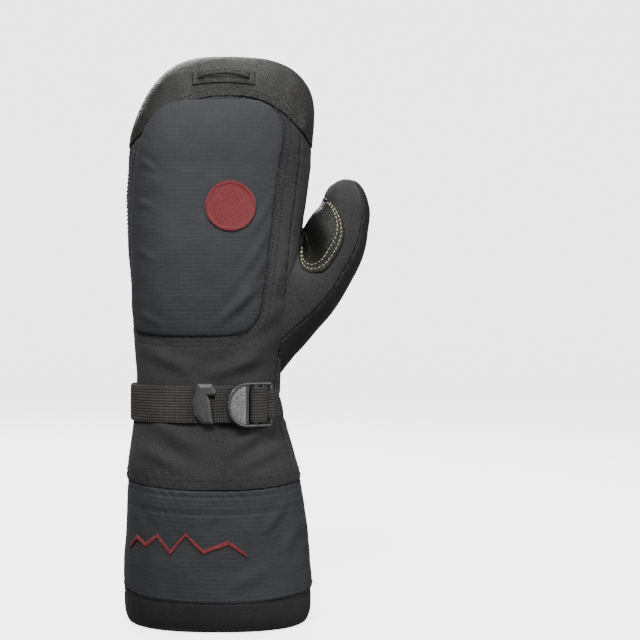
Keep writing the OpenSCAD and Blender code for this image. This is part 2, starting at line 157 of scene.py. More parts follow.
@dataclass(frozen=True)
class MittenForm:
    """The outside of the hand and cuff: ovals stacked from the hem to the rounded fingertips.

    Angles are in degrees and run from the thumb side over the back of the hand. A level is a
    height in millimetres up to dome_z, and dome_z plus a turn in degrees above it.
    """

    hem_w: float
    hem_d: float
    wrist_w: float = 80.6
    wrist_d: float = 57.0
    hand_w: float = 102.4
    hand_d: float = 55.0
    strap_z: float = 121.0
    dome_z: float = 252.0
    dome_h: float = 63.0
    lean: float = 9.0
    power: float = 2.4
    dome_power_w: float = 3.0
    dome_power_d: float = 2.2
    dome_drift: tuple[float, float] = (20.0, -15.0)
    side_rise: float = 3.2

    def sections(self) -> Array:
        """Lists height, middle in X, middle in Y, half width and half depth."""
        w, d = self.wrist_w / 2, self.wrist_d / 2
        hw, hd = self.hand_w / 2, self.hand_d / 2
        rows = [
            (0.0, 1.4, 0.0, self.hem_w / 2, self.hem_d / 2),
            (16.5, 1.3, 0.0, self.hem_w / 2 + 0.2, self.hem_d / 2 + 0.3),
            (48.0, 0.8, 0.0, self.hem_w / 2 - 0.8, self.hem_d / 2 - 1.0),
            (75.0, -0.7, 0.0, self.hem_w / 2 - 3.5, self.hem_d / 2 - 3.0),
            (98.0, -2.4, 0.0, w + 4.3, d + 3.8),
            (self.strap_z, -3.9, 0.0, w, d + 0.3),
            (136.0, -3.7, 0.0, w + 0.2, d),
            (156.0, -2.7, 0.3, w + 2.4, d + 0.6),
            (178.0, -1.2, 0.8, hw - 6.0, hd + 2.3),
            (200.0, -0.6, 1.5, hw - 3.6, hd + 2.0),
            (218.0, -0.3, 2.3, hw - 2.1, hd + 1.4),
            (234.0, 0.6, 3.2, hw - 0.8, hd + 0.6),
            (self.dome_z, 2.2, 4.2, hw, hd),
        ]
        return np.array(rows)

    def section(self, z: Array) -> Array:
        """Blends the listed sections smoothly.

        Args:
            z: heights up to dome_z.
        Returns:
            Middle in X, middle in Y, half width and half depth on the last axis.
        """
        table = self.sections()
        heights = table[:, 0]
        i = np.clip(np.searchsorted(heights, z, side="right") - 1, 0, len(heights) - 2)
        before, after = np.maximum(np.arange(len(heights)) - 1, 0), np.minimum(
            np.arange(len(heights)) + 1, len(heights) - 1
        )
        slope = (table[after, 1:] - table[before, 1:]) / (heights[after] - heights[before])[:, None]
        step = (heights[i + 1] - heights[i])[..., None]
        t = ((z - heights[i])[..., None]) / step
        a, b = table[i, 1:], table[i + 1, 1:]
        return (
            a * (2 * t**3 - 3 * t**2 + 1)
            + slope[i] * step * (t**3 - 2 * t**2 + t)
            + b * (3 * t**2 - 2 * t**3)
            + slope[i + 1] * step * (t**3 - t**2)
        )

    def point(self, angle: Array, level: Array, out: Array = 0.0) -> Array:
        """Finds a place on the outside, or off it.

        Args:
            angle: degrees round the mitten.
            level: height, or dome_z plus a turn.
            out: how far outside, in millimetres.
        Returns:
            X, Y and Z in millimetres on the last axis.
        """
        angle, level, out = np.broadcast_arrays(
            np.asarray(angle, float), np.asarray(level, float), np.asarray(out, float)
        )
        turn = np.radians(np.clip(level - self.dome_z, 0.0, 89.9))
        s = np.sin(turn)
        f = self.section(np.minimum(level, self.dome_z))
        over_w = (1 - s**self.dome_power_w) ** (1 / self.dome_power_w)
        over_d = (1 - s**self.dome_power_d) ** (1 / self.dome_power_d)
        mid_x = f[..., 0] + self.dome_drift[0] * s**2 + self.dome_drift[1] * s**4
        mid_y = f[..., 1] + (self.lean - f[..., 1]) * s**2
        half_w = (f[..., 2] + out) * over_w
        half_d = (f[..., 3] + out) * over_d
        z = np.where(level > self.dome_z, self.dome_z + (self.dome_h + out) * s, level)
        a = np.radians(angle)
        c, q = np.cos(a), np.sin(a)
        z = z + self.side_rise * c**2 * smoothstep(4, 16, z) * (1 - smoothstep(84, 108, z))
        x = mid_x + half_w * np.sign(c) * np.abs(c) ** (2 / self.power)
        y = mid_y - half_d * np.sign(q) * np.abs(q) ** (2 / self.power)
        return np.stack([x, y, z], axis=-1)

    def angle_at(self, x: Array, level: Array) -> Array:
        """Finds the angle on the back of the hand at a place in X.

        Args:
            x: millimetres in X.
            level: height or turn, as for point.
        Returns:
            Degrees.
        """
        left = self.point(180.0, level)[..., 0]
        right = self.point(0.0, level)[..., 0]
        c = np.clip((2 * np.asarray(x, float) - left - right) / (right - left), -1, 1)
        return np.degrees(np.arccos(np.sign(c) * np.abs(c) ** (self.power / 2)))

    def level_at(self, z: Array) -> Array:
        """Turns a height into a level."""
        z = np.asarray(z, float)
        rise = np.clip((z - self.dome_z) / self.dome_h, 0.0, 1.0)
        return np.where(z <= self.dome_z, z, self.dome_z + np.degrees(np.arcsin(rise)))

    def cap_seam(self, angle: Array) -> Array:
        """Gives the level of the seam under the fingertip cap: low at both sides of the hand."""
        q = np.sin(np.radians(np.asarray(angle, float)))
        over_back = 26.0 * np.clip(q, 0, 1) ** 2.2
        over_palm = 48.5 * np.clip(-q, 0, 1) ** 0.75
        return self.dome_z + 9.5 + over_back + over_palm


# --------------------------------------------------------------------------- patches of cloth


@dataclass
class Patch:
    """A grid of places on a panel, rows upwards and columns away from the thumb."""

    points: Array
    normals: Array = field(init=False)
    along: Array = field(init=False)
    up: Array = field(init=False)
    closed: bool = False
    wear_and_highlight: Optional[Array] = None
    pole: bool = False

    def __post_init__(self) -> None:
        """Measures the cloth and finds its normals."""
        self.along = self._lengths(self.points, 1)
        self.up = self._lengths(self.points, 0)
        self.refresh()

    @staticmethod
    def _lengths(points: Array, axis: int) -> Array:
        """Adds up the distances between neighbours along one axis."""
        steps = np.linalg.norm(np.diff(points, axis=axis), axis=-1)
        pad = [(0, 0), (0, 0)]
        pad[axis] = (1, 0)
        return np.cumsum(np.pad(steps, pad), axis=axis)

    def refresh(self) -> None:
        """Finds the outward normals again after the points have moved."""
        if self.closed:
            wrapped = np.concatenate([self.points[:, -2:-1], self.points, self.points[:, 1:2]], axis=1)
            across = np.gradient(wrapped, axis=1)[:, 1:-1]
        else:
            across = np.gradient(self.points, axis=1)
        n = np.cross(np.gradient(self.points, axis=0), across)
        self.normals = n / np.maximum(np.linalg.norm(n, axis=-1, keepdims=True), 1e-9)
        if self.pole:
            self.points[0] = self.points[0, :-1].mean(0)
            middle = self.normals[2, :-1].mean(0)
            self.normals[:2] = middle / np.linalg.norm(middle)

    def cloth(self) -> Array:
        """Gives each place's position on the flat cloth, in millimetres."""
        return np.stack([self.along, self.up], axis=-1)

    def distance(self, edges: Iterable[Edge]) -> Array:
        """Measures how far each place is from the nearest of some edges.

        Args:
            edges: the edges that count.
        Returns:
            Millimetres, one for each place.
        """
        far = np.full(self.along.shape, 1e3)
        for edge in edges:
            if edge is Edge.FIRST:
                far = np.minimum(far, self.along - self.along[:, :1])
            elif edge is Edge.LAST:
                far = np.minimum(far, self.along[:, -1:] - self.along)
            elif edge is Edge.LOW:
                far = np.minimum(far, self.up - self.up[:1])
            else:
                far = np.minimum(far, self.up[-1:] - self.up)
        return far

    def push(self, offset: Array) -> None:
        """Moves every place along its normal.

        Args:
            offset: millimetres outwards.
        """
        self.points = self.points + self.normals * np.asarray(offset)[..., None]
        self.refresh()

    def at(self, column: Array, row: Array, lift: float = 0.0) -> Array:
        """Reads places between the grid's own.

        Args:
            column: fractions from 0 to 1 along a row.
            row: fractions from 0 to 1 up a column.
            lift: millimetres off the cloth.
        Returns:
            Places, one for each fraction.
        """
        rows, cols = self.along.shape
        c = np.clip(np.asarray(column, float), 0, 1) * (cols - 1)
        r = np.clip(np.asarray(row, float), 0, 1) * (rows - 1)
        c, r = np.broadcast_arrays(c, r)
        c0, r0 = np.minimum(c.astype(int), cols - 2), np.minimum(r.astype(int), rows - 2)
        tc, tr = (c - c0)[..., None], (r - r0)[..., None]

        def blend(grid: Array) -> Array:
            """Mixes the four grid points round each place."""
            low = grid[r0, c0] * (1 - tc) + grid[r0, c0 + 1] * tc
            high = grid[r0 + 1, c0] * (1 - tc) + grid[r0 + 1, c0 + 1] * tc
            return low * (1 - tr) + high * tr

        return blend(self.points) + blend(self.normals) * lift

    def beside(
        self, edge: Edge, inset: float, lift: float = 0.0, span: tuple[float, float] = (0, 1)
    ) -> Array:
        """Follows an edge at a fixed distance.

        Args:
            edge: which edge.
            inset: millimetres from it.
            lift: millimetres off the cloth.
            span: fractions of the edge where the line starts and ends.
        Returns:
            Places along the line.
        """
        count = 160
        t = np.linspace(span[0], span[1], count)
        sideways = edge in (Edge.FIRST, Edge.LAST)
        length = self.along[:, -1] if sideways else self.up[-1]
        index = t * (len(length) - 1)
        total = np.interp(index, np.arange(len(length)), length)
        share = np.clip(inset / np.maximum(total, 1e-6), 0, 1)
        if edge in (Edge.LAST, Edge.HIGH):
            share = 1 - share
        return self.at(share, t, lift) if sideways else self.at(t, share, lift)


def hem_fold(distance: Array, depth: float, width: float) -> Array:
    """Turns a panel's edge in at a seam.

    Args:
        distance: millimetres from the seam.
        depth: how far in the seam lies.
        width: how wide the turned edge is.
    Returns:
        Offsets, zero away from the seam.
    """
    t = np.clip(1 - distance / width, 0, 1)
    return -depth * (1 - np.sqrt(np.maximum(1 - t * t, 0)))


@dataclass(frozen=True)
class Crease:
    """One fold in the cloth, drawn on the flat cloth from one end to the other."""

    start: tuple[float, float]
    end: tuple[float, float]
    width: float
    height: float

    def offset(self, cloth: Array) -> Array:
        """Gives the fold's height at places on the flat cloth.

        Args:
            cloth: places on the flat cloth in millimetres.
        Returns:
            Offsets in millimetres.
        """
        a, b = np.array(self.start), np.array(self.end)
        run = b - a
        t = np.clip(((cloth - a) @ run) / (run @ run), -0.1, 1.1)
        away = cloth - (a + t[..., None] * run)
        d = np.linalg.norm(away, axis=-1)
        ends = np.clip(np.sin(np.pi * np.clip(t, 0, 1)), 0, 1) ** 0.7
        return self.height * ends * (
            np.exp(-((d / self.width) ** 2)) - 0.35 * np.exp(-((d / self.width - 1.6) ** 2))
        )


def puckers(along: Array, distance: Array, pitch: float, depth: float, reach: float, seed: int) -> Array:
    """Draws the small ripples that a row of stitches pulls into cloth.

    Args:
        along: millimetres along the seam.
        distance: millimetres from the seam.
        pitch: distance from one ripple to the next.
        depth: height of the ripples.
        reach: how far they run from the seam.
        seed: which pattern.
    Returns:
        Offsets in millimetres.
    """
    flat = np.stack([along, np.zeros_like(along)], axis=-1)
    wander = smooth_noise(flat, pitch * 3.1, seed) * pitch * 0.9
    strength = 0.55 + 0.45 * smooth_noise(flat, pitch * 4.3, seed + 3)
    wave = np.sin(2 * np.pi * (along + wander) / pitch)
    return depth * strength * wave * np.exp(-distance / reach)


# --------------------------------------------------------------------------- finishes


Value = float | bpy.types.NodeSocket


class Graph:
    """A material's node tree while it is being built."""

    def __init__(self, name: str) -> None:
        """Starts an empty material with one Principled shader."""
        self.material = bpy.data.materials.new(name)
        self.material.use_nodes = True
        self.tree = self.material.node_tree
        self.tree.nodes.clear()
        out = self.tree.nodes.new("ShaderNodeOutputMaterial")
        self.shader = self.tree.nodes.new("ShaderNodeBsdfPrincipled")
        self.tree.links.new(self.shader.outputs[0], out.inputs[0])

    def node(self, kind: str, sockets: Optional[dict] = None, **settings: object) -> bpy.types.Node:
        """Adds a node.

        Args:
            kind: the node's type.
            sockets: input name or number to a value or to another node's output.
            settings: the node's own properties.
        Returns:
            The new node.
        """
        made = self.tree.nodes.new(kind)
        for key, value in settings.items():
            setattr(made, key, value)
        for key, value in (sockets or {}).items():
            if isinstance(value, bpy.types.NodeSocket):
                self.tree.links.new(value, made.inputs[key])
            else:
                made.inputs[key].default_value = value
        return made

    def math(self, operation: str, a: Value, b: Value = 0.0, c: Value = 0.0) -> bpy.types.NodeSocket:
        """Adds a Math node and returns its output."""
        return self.node("ShaderNodeMath", {0: a, 1: b, 2: c}, operation=operation).outputs[0]

    def cloth(self, per_mm: float, turn: float = 0.0) -> bpy.types.NodeSocket:
        """Reads the fabric map in units of the given number per millimetre."""
        uv = self.node("ShaderNodeUVMap", uv_map="fabric")
        scale = per_mm * UV_UNIT
        mapping = self.node(
            "ShaderNodeMapping", {
                0: uv.outputs[0], "Scale": (scale, scale, scale), "Rotation": (0, 0, turn)
            }
        )
        return mapping.outputs[0]

    def place(self, per_mm: float) -> bpy.types.NodeSocket:
        """Reads object coordinates in units of the given number per millimetre."""
        coords = self.node("ShaderNodeTexCoord")
        scale = per_mm / MM
        return self.node(
            "ShaderNodeMapping", {0: coords.outputs["Object"], "Scale": (scale, scale, scale)}
        ).outputs[0]

    def noise(self, where: bpy.types.NodeSocket, scale: float, detail: float = 2.0) -> bpy.types.NodeSocket:
        """Adds a Noise Texture and returns its value."""
        made = self.node("ShaderNodeTexNoise", {"Vector": where, "Scale": scale, "Detail": detail})
        return made.outputs[0]

    def wave(self, value: bpy.types.NodeSocket) -> bpy.types.NodeSocket:
        """Turns a count of threads into a rounded thread height from 0 to 1."""
        swing = self.math("SINE", self.math("MULTIPLY", value, 2 * math.pi))
        return self.math("MULTIPLY_ADD", swing, 0.5, 0.5)

    def spread(
        self, value: Value, low: float, high: float, to_low: float = 0.0, to_high: float = 1.0
    ) -> bpy.types.NodeSocket:
        """Maps a range of values onto another and returns the output."""
        made = self.node(
            "ShaderNodeMapRange",
            {"Value": value, "From Min": low, "From Max": high, "To Min": to_low, "To Max": to_high},
        )
        return made.outputs[0]

    def tint(self, factor: Value, dark: Sequence[float], light: Sequence[float]) -> bpy.types.NodeSocket:
        """Mixes two colours by a factor and returns the output."""
        made = self.node("ShaderNodeMix", data_type="RGBA", clamp_factor=True)
        for socket, value in ((made.inputs[6], (*dark, 1.0)), (made.inputs[7], (*light, 1.0))):
            socket.default_value = value
        self.tree.links.new(factor, made.inputs[0])
        return made.outputs[2]

    def finish(
        self, colour: Value, rough: Value, height: Value, bump_mm: float, **uniform: float
    ) -> bpy.types.Material:
        """Connects the shader and returns the material.

        Args:
            colour: colour output.
            rough: roughness output or value.
            height: height output from 0 to 1, or None.
            bump_mm: height of the relief in millimetres.
            uniform: shader sockets that are the same all over, underscores for spaces.
        Returns:
            The finished material.
        """
        self.tree.links.new(colour, self.shader.inputs["Base Color"])
        if isinstance(rough, bpy.types.NodeSocket):
            self.tree.links.new(rough, self.shader.inputs["Roughness"])
        else:
            self.shader.inputs["Roughness"].default_value = rough
        if height is not None:
            bump = self.node(
                "ShaderNodeBump", {"Height": height, "Distance": bump_mm * MM, "Strength": 1.0}
            )
            self.tree.links.new(bump.outputs[0], self.shader.inputs["Normal"])
        for key, value in uniform.items():
            self.shader.inputs[key.replace("_", " ")].default_value = value
        return self.material


def shade(colour: Sequence[float], amount: float) -> tuple[float, float, float]:
    """Makes a colour lighter or darker by a factor."""
    return tuple(min(1.0, c * amount) for c in colour[:3])


@dataclass(frozen=True)
class SoftshellFinish:
    """Stretch softshell: a very fine knit with a soft matt bloom."""

    name: str
    colour: tuple[float, float, float]
    rough: float = 0.82
    pitch: float = 0.9

    def build(self) -> bpy.types.Material:
        """Makes the material."""
        g = Graph(self.name)
        cloth = g.cloth(1.0 / self.pitch)
        axes = g.node("ShaderNodeSeparateXYZ", {0: cloth})
        knit = g.math(
            "MULTIPLY", g.wave(axes.outputs[0]),
            g.wave(g.math("ADD", axes.outputs[1], g.math("MULTIPLY", axes.outputs[0], 0.5)))
        )
        fuzz = g.noise(g.place(1.0), 1.6, 3)
        broad = g.noise(g.place(1.0), 0.028, 2)
        wear_and_highlight_fac = g.node("ShaderNodeAttribute", attribute_name="wear_and_highlight").outputs["Fac"]
        mix = g.math("ADD", g.spread(fuzz, 0.38, 0.68, 0.05, 0.5), g.math("MULTIPLY", knit, 0.2))
        mix = g.math("ADD", mix, g.spread(broad, 0.3, 0.7, -0.1, 0.3))
        # Lighter where the wear attribute is high: rubbed panel edges, and on the wrist gathers a painted
        # highlight on the raised folds.
        mix = g.math("ADD", mix, g.math("MULTIPLY", wear_and_highlight_fac, 0.45))
        colour = g.tint(mix, shade(self.colour, 0.5), shade(self.colour, 1.7))
        height = g.math("ADD", knit, g.math("MULTIPLY", fuzz, 0.9))
        rough = g.spread(broad, 0.3, 0.7, self.rough - 0.05, self.rough + 0.05)
        return g.finish(
            colour, rough, height, 0.07, Sheen_Weight=0.03, Sheen_Roughness=0.5, Specular_IOR_Level=0.18
        )


@dataclass(frozen=True)
class RipstopFinish:
    """Ripstop nylon: plain weave with a grid of thicker threads."""

    name: str
    colour: tuple[float, float, float]
    grid: float = 2.3
    thread: float = 0.46

    def build(self) -> bpy.types.Material:
        """Makes the material."""
        g = Graph(self.name)
        bend = g.noise(g.place(1.0), 0.09, 2)
        axes = g.node("ShaderNodeSeparateXYZ", {0: g.cloth(1.0)})
        lines = []
        for axis in (0, 1):
            drifted = g.math("MULTIPLY_ADD", bend, 0.5, axes.outputs[axis])
            phase = g.math(
                "ABSOLUTE",
                g.math("SUBTRACT", g.math("FRACT", g.math("DIVIDE", drifted, self.grid)), 0.5)
            )
            lines.append(g.spread(phase, 0.36, 0.47))
        grid = g.math("MAXIMUM", lines[0], lines[1])
        warp = g.wave(g.math("DIVIDE", axes.outputs[0], self.thread))
        weft = g.wave(g.math("DIVIDE", axes.outputs[1], self.thread))
        weave = g.math("MULTIPLY", warp, weft)
        patchy = g.noise(g.place(1.0), 0.35, 4)
        broad = g.noise(g.place(1.0), 0.022, 2)
        wear_and_highlight_fac = g.node("ShaderNodeAttribute", attribute_name="wear_and_highlight").outputs["Fac"]
        streaks = g.noise(
            g.node("ShaderNodeMapping", {0: g.cloth(1.0), "Scale": (0.11, 1.9, 1.0)}).outputs[0], 1.0, 2
        )
        mix = g.math("ADD", g.math("MULTIPLY", weave, 0.22), g.math("MULTIPLY", patchy, 0.25))
        mix = g.math(
            "ADD", mix, g.math("MULTIPLY", g.math("MULTIPLY", grid, g.spread(patchy, 0.35, 0.65)), 0.22)
        )
        mix = g.math("ADD", mix, g.spread(streaks, 0.35, 0.65, -0.1, 0.22))
        mix = g.math("ADD", mix, g.spread(broad, 0.3, 0.7, -0.05, 0.2))
        mix = g.math("ADD", mix, g.math("MULTIPLY", wear_and_highlight_fac, 0.4))
        colour = g.tint(mix, shade(self.colour, 0.68), shade(self.colour, 1.5))
        height = g.math("ADD", g.math("MULTIPLY", weave, 0.5), grid)
        rough = g.spread(patchy, 0.3, 0.7, 0.58, 0.72)
        return g.finish(
            colour, rough, height, 0.09, Sheen_Weight=0.02, Sheen_Roughness=0.4, Specular_IOR_Level=0.24
        )


@dataclass(frozen=True)
class LeatherFinish:
    """Goatskin: pebbled grain, pores, broad tonal drift and a soft polish on raised places."""

    name: str
    colour: tuple[float, float, float]
    grain: float = 1.1
    rough: float = 0.5
    relief: float = 0.2

    def build(self) -> bpy.types.Material:
        """Makes the material."""
        g = Graph(self.name)
        place = g.place(1.0)
        warp = g.node("ShaderNodeTexNoise", {"Vector": place, "Scale": 0.5, "Detail": 3.0}).outputs[1]
        bent = g.node("ShaderNodeVectorMath", {0: place, 1: warp}, operation="ADD").outputs[0]
        cells = g.node(
            "ShaderNodeTexVoronoi", {"Vector": bent, "Scale": 1.0 / self.grain},
            feature="DISTANCE_TO_EDGE"
        ).outputs[0]
        pebble = g.spread(cells, 0.0, 0.22)
        fine = g.noise(place, 2.2, 4)
        broad = g.noise(place, 0.035, 3)
        creased = g.noise(
            g.node("ShaderNodeMapping", {0: place, "Scale": (1.0, 1.0, 0.45)}).outputs[0], 0.16, 5
        )
        wear_and_highlight_fac = g.node("ShaderNodeAttribute", attribute_name="wear_and_highlight").outputs["Fac"]
        mix = g.math("MULTIPLY", pebble, 0.38)
        mix = g.math("ADD", mix, g.spread(fine, 0.35, 0.65, 0.0, 0.34))
        mix = g.math("ADD", mix, g.spread(broad, 0.3, 0.7, -0.12, 0.3))
        mix = g.math("ADD", mix, g.math("MULTIPLY", wear_and_highlight_fac, 0.6))
        colour = g.tint(mix, shade(self.colour, 0.5), shade(self.colour, 1.75))
        height = g.math("ADD", g.math("MULTIPLY", pebble, 0.6), g.math("MULTIPLY", fine, 0.35))
        height = g.math("ADD", height, g.math("MULTIPLY", creased, 1.6))
        rough = g.math(
            "ADD", g.spread(broad, 0.3, 0.7, self.rough + 0.06, self.rough - 0.05),
            g.math("MULTIPLY", wear_and_highlight_fac, -0.1)
        )
        return g.finish(colour, rough, height, self.relief, Specular_IOR_Level=0.3)


@dataclass(frozen=True)
class WebbingFinish:
    """Woven tape: cords across and fine picks along, so the surface reads as a waffle."""

    name: str
    colour: tuple[float, float, float]
    rib: float = 1.3
    pick: float = 1.5

    def build(self) -> bpy.types.Material:
        """Makes the material."""
        g = Graph(self.name)
        axes = g.node("ShaderNodeSeparateXYZ", {0: g.cloth(1.0)})
        ribs = g.wave(g.math("DIVIDE", axes.outputs[0], self.rib))
        picks = g.wave(g.math("DIVIDE", axes.outputs[1], self.pick))
        fibre = g.noise(
            g.node("ShaderNodeMapping", {0: g.cloth(1.0), "Scale": (6.0, 1.5, 1.0)}).outputs[0], 1.0, 3
        )
        broad = g.noise(g.place(1.0), 0.06, 2)
        waffle = g.math("MULTIPLY", g.math("POWER", ribs, 0.6), g.math("POWER", picks, 0.7))
        mix = g.math("ADD", g.math("MULTIPLY", waffle, 0.65), g.math("MULTIPLY", fibre, 0.3))
        mix = g.math("ADD", mix, g.spread(broad, 0.3, 0.7, -0.08, 0.12))
        colour = g.tint(mix, shade(self.colour, 0.1), shade(self.colour, 3.1))
        height = g.math("ADD", waffle, g.math("MULTIPLY", fibre, 0.25))
        return g.finish(colour, 0.72, height, 0.3, Sheen_Weight=0.02, Specular_IOR_Level=0.25)


@dataclass(frozen=True)
class PlasticFinish:
    """Moulded plastic with a fine spark-eroded texture and small flecks."""

    name: str
    colour: tuple[float, float, float]
    fleck: float = 0.25
    rough: float = 0.45
    grit: float = 2.6

    def build(self) -> bpy.types.Material:
        """Makes the material."""
        g = Graph(self.name)
        place = g.place(1.0)
        grit = g.noise(place, self.grit, 4)
        flecks = g.node("ShaderNodeTexVoronoi", {"Vector": place, "Scale": 0.95}).outputs[0]
        broad = g.noise(place, 0.15, 3)
        mix = g.math(
            "ADD", g.spread(grit, 0.35, 0.65, 0.1, 0.6),
            g.math("MULTIPLY", g.spread(flecks, 0.0, 0.3, 1.0, 0.0), self.fleck)
        )
        mix = g.math("ADD", mix, g.spread(broad, 0.3, 0.7, -0.1, 0.15))
        colour = g.tint(
            mix, shade(self.colour, 0.6 - 0.35 * self.fleck),
            shade(self.colour, 1.55 + 0.6 * self.fleck)
        )
        rough = g.spread(grit, 0.3, 0.7, self.rough - 0.08, self.rough + 0.12)
        return g.finish(colour, rough, grit, 0.06 + 0.14 * self.fleck, Specular_IOR_Level=0.5)


@dataclass(frozen=True)
class ThreadFinish:
    """Sewing thread: twisted plies along its length."""

    name: str
    colour: tuple[float, float, float]
    twist: float = 3.5

    def build(self) -> bpy.types.Material:
        """Makes the material."""
        g = Graph(self.name)
        place = g.place(1.0)
        plies = g.noise(place, self.twist, 2)
        tone = g.noise(place, 0.4, 2)
        mix = g.math("ADD", g.math("MULTIPLY", plies, 0.6), g.spread(tone, 0.3, 0.7, 0.0, 0.4))
        colour = g.tint(mix, shade(self.colour, 0.6), shade(self.colour, 1.3))
        return g.finish(colour, 0.6, plies, 0.05, Sheen_Weight=0.1)


@dataclass(frozen=True)
class EmbroideryFinish:
    """Satin stitch: close parallel threads that change direction a little from place to place."""

    name: str
    colour: tuple[float, float, float]
    thread: float = 0.55
    turn: float = 0.6

    def build(self) -> bpy.types.Material:
        """Makes the material."""
        g = Graph(self.name)
        drift = g.noise(g.place(1.0), 0.25, 2)
        axes = g.node("ShaderNodeSeparateXYZ", {0: g.cloth(1.0, self.turn)})
        threads = g.wave(g.math("DIVIDE", g.math("MULTIPLY_ADD", drift, 0.8, axes.outputs[0]), self.thread))
        fleck = g.noise(g.place(1.0), 1.4, 3)
        mix = g.math("ADD", g.math("MULTIPLY", threads, 0.55), g.spread(fleck, 0.35, 0.65, -0.1, 0.5))
        colour = g.tint(mix, shade(self.colour, 0.55), shade(self.colour, 1.45))
        return g.finish(colour, 0.6, threads, 0.14, Sheen_Weight=0.03, Specular_IOR_Level=0.2)


@dataclass(frozen=True)
class PileFinish:
    """Brushed fleece, wadding, foam or elastic: soft clumps without a weave."""

    name: str
    colour: tuple[float, float, float]
    clump: float = 1.6
    relief: float = 0.5

    def build(self) -> bpy.types.Material:
        """Makes the material."""
        g = Graph(self.name)
        place = g.place(1.0)
        tufts = g.noise(place, 1.0 / self.clump, 5)
        broad = g.noise(place, 0.05, 2)
        mix = g.math("ADD", g.spread(tufts, 0.3, 0.7), g.spread(broad, 0.3, 0.7, -0.15, 0.15))
        colour = g.tint(mix, shade(self.colour, 0.6), shade(self.colour, 1.4))
        return g.finish(colour, 0.95, tufts, self.relief, Sheen_Weight=0.3, Specular_IOR_Level=0.1)


class Finishes:
    """Every finish of the mitten, each made once and kept under its name."""

    def __init__(self) -> None:
        """Names the finishes."""
        self._made: dict[str, bpy.types.Material] = {}
        self._plans = {
            "softshell": SoftshellFinish("softshell", (0.029, 0.029, 0.0295)),
            "ripstop": RipstopFinish("ripstop", (0.027, 0.0275, 0.031)),
            "palm_leather": LeatherFinish("palm_leather", (0.0115, 0.0112, 0.0098), rough=0.46),
            "side_leather": LeatherFinish(
                "side_leather", (0.0055, 0.0055, 0.006), grain=0.8, rough=0.6, relief=0.06
            ),
            "hem_fabric": SoftshellFinish("hem_fabric", (0.0145, 0.0145, 0.015)),
            "casing_fabric": SoftshellFinish("casing_fabric", (0.024, 0.024, 0.0245)),
            "fleece": PileFinish("fleece", (0.03, 0.03, 0.034), clump=1.2),
            "membrane": PlasticFinish("membrane", (0.6, 0.62, 0.65), rough=0.5),
            "wadding": PileFinish("wadding", (0.72, 0.72, 0.68), clump=3.0),
            "foam": PileFinish("foam", (0.66, 0.66, 0.6), clump=0.8, relief=0.2),
            "elastic": WebbingFinish("elastic", (0.03, 0.03, 0.03)),
            "webbing": WebbingFinish("webbing", (0.0272, 0.0258, 0.0243)),
            "buckle_plastic": PlasticFinish(
                "buckle_plastic", (0.12, 0.12, 0.12), fleck=1.1, rough=0.36, grit=1.2
            ),
            "pull_plastic": PlasticFinish("pull_plastic", (0.036, 0.036, 0.036), fleck=0.1, rough=0.5),
            "frame_plastic": PlasticFinish("frame_plastic", (0.03, 0.03, 0.03), fleck=0.1, rough=0.3),
            "embroidery": EmbroideryFinish("embroidery", (0.165, 0.026, 0.031)),
            "dark_thread": ThreadFinish("dark_thread", (0.009, 0.009, 0.009)),
            "grey_thread": ThreadFinish("grey_thread", (0.035, 0.034, 0.031)),
            "contrast_thread": ThreadFinish("contrast_thread", (0.5, 0.47, 0.28)),
        }

    def get(self, name: str) -> bpy.types.Material:
        """Returns a finish, made when it is first asked for."""
        if name not in self._made:
            self._made[name] = self._plans[name].build()
        return self._made[name]


FINISHES = Finishes()


# --------------------------------------------------------------------------- meshes


def grid_faces(rows: int, cols: int, keep: Optional[Array] = None) -> Array:
    """Lists the quads of a grid, facing outwards.

    Args:
        rows: rows of points.
        cols: columns of points.
        keep: which cells to keep, (rows - 1) by (cols - 1).
    Returns:
        Four point numbers for each quad.
    """
    r, c = np.meshgrid(np.arange(rows - 1), np.arange(cols - 1), indexing="ij")
    first = r * cols + c
    faces = np.stack([first, first + cols, first + cols + 1, first + 1], axis=-1)
    if keep is not None:
        return faces[keep]
    return faces.reshape(-1, 4)


def rim_faces(faces: Sequence[Sequence[int]], shift: int) -> list[tuple[int, ...]]:
    """Joins the open edges of a sheet to those of its copy.

    Args:
        faces: the sheet's faces.
        shift: how many numbers later the copy's points are.
    Returns:
        Quads along every open edge.
    """
    directed = {(f[i], f[(i + 1) % len(f)]) for f in faces for i in range(len(f))}
    return [(b, a, a + shift, b + shift) for a, b in sorted(directed) if (b, a) not in directed]


